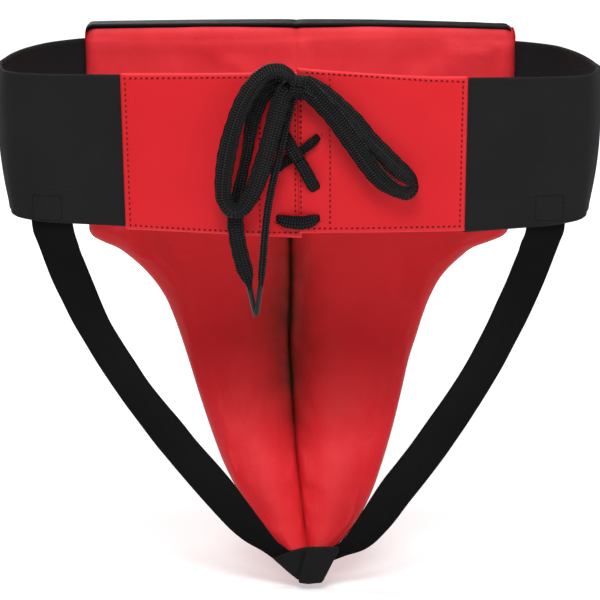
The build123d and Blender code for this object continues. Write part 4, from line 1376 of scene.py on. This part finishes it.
def strap(name, side):
    samples, along = spline(STRAP_ROWS[side], 240)
    cols = 17
    verts, uvs = [], []
    for i, sample in enumerate(samples):
        f = i / (len(samples) - 1)
        free = min(1.0, max(0.0, (f - 0.10) * 8)) * min(1.0, (1 - f) * 8)
        for k in range(cols):
            t = k / (cols - 1)
            x, y, z = sample[:3] + (sample[3:] - sample[:3]) * t
            # cupped a little across, with soft waves along
            y += 0.9 * (4 * t * (1 - t) - 0.4) * free
            y += 0.55 * fbm(x * 0.3, z * 0.9, side * 11.0, 26.0, 2) * free
            verts.append((x, y, z))
            uvs.append((along[i] * 0.7 * MM, t * 20.0 * MM))
    ob = make_mesh(name, verts, grid_faces(len(samples), cols, flip=side > 0), uvs)
    thicken(ob, 1.5, offset=0.0)
    bevel = ob.modifiers.new("soft", "BEVEL")
    bevel.width = 0.0005
    bevel.segments = 2
    bevel.limit_method = "ANGLE"
    bevel.angle_limit = math.radians(50)
    apply_modifiers(ob)
    return ob


for side, tag in SIDES:
    dress(strap("leg_strap_%s_webbing" % tag, side), STRAP,
          blend=("guard", "closure", (0, 0.000, -0.218), (0.0, -0.0325, -0.052)),
          replaces=["leg_strap_" + tag])

# a box of black stitching on the waistband over the end of each strap
for side, tag in SIDES:
    x0, x1 = (-136.5, -121.5) if side < 0 else (121.0, 135.5)
    z0, z1 = -35.2, -22.4
    corners = [(x0, z0), (x0, z1), (x1, z1), (x1, z0), (x0, z0)]
    thread, = stitches("strap_box_" + tag, surface_tree(elastics[side]),
                       [list(pair) for pair in zip(corners, corners[1:])],
                       pitch=2.6, gap=0.8, radius=0.24, lift=0.12, with_holes=False)
    dress(thread, BLACK_THREAD, blend=WAIST_BLEND)

# ------------------------------------------------------------------ crotch tab
# (x, z) outlines of the two plies
BACK_PLY = [(-14.6, -225.0), (-6.0, -221.8), (3.0, -220.0), (12.0, -220.4), (15.0, -229.0),
            (9.0, -237.2), (-0.9, -237.2), (-6.6, -232.6)]
FRONT_FLAP = [(4.2, -218.8), (21.6, -218.6), (21.8, -220.8), (18.6, -226.4), (13.2, -237.4),
              (12.0, -238.6), (5.0, -239.2), (0.2, -238.6), (-0.4, -237.4), (3.4, -222.4)]


def tape_ply(name, ring, start_y, depth):
    """a soft-edged ply from an (x, z) outline, reaching from start_y towards +y"""
    mesh = bpy.data.meshes.new(name)
    bm = bmesh.new()
    face = bm.faces.new([bm.verts.new((x * MM, start_y * MM, z * MM)) for x, z in ring])
    extruded = bmesh.ops.extrude_face_region(bm, geom=[face])
    for item in extruded["geom"]:
        if isinstance(item, bmesh.types.BMVert):
            item.co.y += depth * MM
    bmesh.ops.recalc_face_normals(bm, faces=bm.faces)
    bmesh.ops.triangulate(bm, faces=bm.faces)
    long_edges = [e for e in bm.edges if e.calc_length() > 0.004]
    bmesh.ops.subdivide_edges(bm, edges=long_edges, cuts=3, use_grid_fill=True)
    bm.to_mesh(mesh)
    bm.free()
    ob = add_object(name, mesh)
    remesh = ob.modifiers.new("remesh", "REMESH")
    remesh.mode = "VOXEL"
    remesh.voxel_size = 0.00045
    smooth = ob.modifiers.new("smooth", "SMOOTH")
    smooth.factor = 0.6
    smooth.iterations = 5
    apply_modifiers(ob)
    mesh = ob.data
    for vert in mesh.vertices:
        x, y, z = (c / MM for c in vert.co)
        vert.co.y += 0.4 * MM * fbm(x, y * 0.3, z, 9.0, 2)
    layer = mesh.uv_layers.new(name="UVMap")
    for loop in mesh.loops:
        place = mesh.vertices[loop.vertex_index].co
        layer.data[loop.index].uv = (place.z, place.x)
    shade_smooth(mesh)
    return ob


dress(tape_ply("crotch_tab_back_ply", BACK_PLY, start_y=0.8, depth=4.6),
      TAB, "guard", replaces=["crotch_tab"])
dress(tape_ply("crotch_tab_front_flap", FRONT_FLAP, start_y=-1.2, depth=3.2),
      TAB, "guard")

# ------------------------------------------------------------------ outer face seams
# beside the centre seam: offset from the first line's x, then height
CENTRE_LINE = ((0.0, 46.0), (-2.0, 0.0), (-4.0, -60.0), (-4.5, -120.0), (-2.5, -170.0),
               (0.5, -205.0))
CENTRE_LINE_X = 3.4
RING_SEAM_SCALE = 1.06


def outer_seams(side):
    """(x, z) lines beside the centre seam, in two level rows and round the cup area"""
    lines = [[(side * CENTRE_LINE_X + dx, z) for dx, z in CENTRE_LINE]]
    lines += [[(side * x, z) for x in (5.0, 60.0, 108.0)] for z in (3.2, 8.8)]
    ring = []
    for k in range(25):
        angle = math.pi * (0.06 + 0.88 * k / 24)
        ring.append((side * RING_HALF_WIDTH * RING_SEAM_SCALE * math.sin(angle),
                     RING_Z + RING_HALF_HEIGHT * RING_SEAM_SCALE * math.cos(angle)))
    return lines + [ring]


for side, tag in SIDES:
    thread, holes = stitches("guard_outer_" + tag, surface_tree(pad_parts[(side, False)]),
                             outer_seams(side), pitch=3.4, gap=1.1, radius=0.30, start_y=0.16,
                             direction=-1.0)
    dress(thread, RED_THREAD, "guard")
    dress(holes, HOLE_SHADE, "guard")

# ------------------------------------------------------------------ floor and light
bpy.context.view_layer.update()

FLOOR_GAP = 0.004
FLOOR_STEPS = [-30.0, -12.0, -5.0, -2.0, -0.8, 0.0, 0.8, 2.0, 5.0, 12.0, 30.0]


def floor_paper():
    """pale paper that the camera sees glowing brighter towards the horizon"""
    net = new_material("floor_paper")
    place = net.object_place()
    colour = net.mix(net.noise(place, scale=3.0, detail=2.0), (0.86, 0.86, 0.865),
                     (0.90, 0.90, 0.90))
    seen = net.node("ShaderNodeLightPath", {}, "Is Camera Ray")
    away = net.node("ShaderNodeVectorMath", {0: place}, "Value", operation="LENGTH")
    far = net.node("ShaderNodeMapRange", {"Value": away, "From Min": 0.35, "From Max": 2.2,
                                          "To Min": 0.12, "To Max": 0.68},
                   interpolation_type="SMOOTHSTEP")
    return net.surface(Base_Color=colour, Roughness=0.9, Emission_Strength=far * seen + 0.14,
                       Emission_Color=(1, 1, 1), Specular_IOR_Level=0.1)


def add_floor():
    height = CAD_LOW.z - FLOOR_GAP
    mesh = bpy.data.meshes.new("floor")
    verts = [(x, y, height) for y in FLOOR_STEPS for x in FLOOR_STEPS]
    mesh.from_pydata(verts, [], grid_faces(len(FLOOR_STEPS), len(FLOOR_STEPS)))
    floor = add_object("floor", mesh)
    mesh.materials.append(floor_paper())


def add_world():
    """white surroundings, full strength to the camera and dimmer as light"""
    world = bpy.data.worlds.new("studio")
    bpy.context.scene.world = world
    world.use_nodes = True
    net = Net(world.node_tree)
    background = world.node_tree.nodes.get("Background")
    net.put(background.inputs[0], (1.0, 1.0, 1.0))
    seen = net.node("ShaderNodeLightPath", {}, "Is Camera Ray")
    net.put(background.inputs[1], seen * 0.66 + 0.34)


def aim(ob, direction):
    ob.rotation_euler = direction.to_track_quat("-Z", "Y").to_euler()


def area_light(name, place, target, width, height, power):
    light = bpy.data.lights.new(name, "AREA")
    light.energy = power
    light.shape = "RECTANGLE"
    light.size = width
    light.size_y = height
    ob = add_object(name, light)
    ob.location = place
    aim(ob, Vector(target) - Vector(place))


add_floor()
add_world()
area_light("key", place=(-0.12, -1.20, 1.20), target=(0, 0, -0.02), width=0.8, height=0.6,
           power=15.5)
area_light("fill", place=(1.3, -1.0, 0.30), target=(0, 0, -0.05), width=1.2, height=1.2,
           power=4.2)
area_light("top", place=(0.0, 0.05, 1.40), target=(0, 0.03, -0.05), width=0.9, height=0.9,
           power=11.0)
area_light("back", place=(-0.5, 1.5, 0.9), target=(0, 0.05, -0.05), width=0.9, height=0.9,
           power=8.0)

# ------------------------------------------------------------------ the camera
CAMERA_PITCH = math.radians(10.0)
CAMERA_DISTANCE = 1.300
CAMERA_TARGET = Vector((0, 0, -0.0831))

lens = bpy.data.cameras.new("camera")
camera = add_object("camera", lens)
camera.location = CAMERA_TARGET - CAMERA_DISTANCE * Vector(
    (0, math.cos(CAMERA_PITCH), -math.sin(CAMERA_PITCH)))
aim(camera, (CAMERA_TARGET - camera.location).normalized())
lens.sensor_width = 36.0
lens.lens = 147.0
lens.shift_x = 0.00166667
lens.clip_start = 0.05
lens.clip_end = 20.0
scene = bpy.context.scene
scene.camera = camera
scene.view_settings.view_transform = "Standard"
scene.view_settings.look = "None"
scene.view_settings.exposure = 0.0
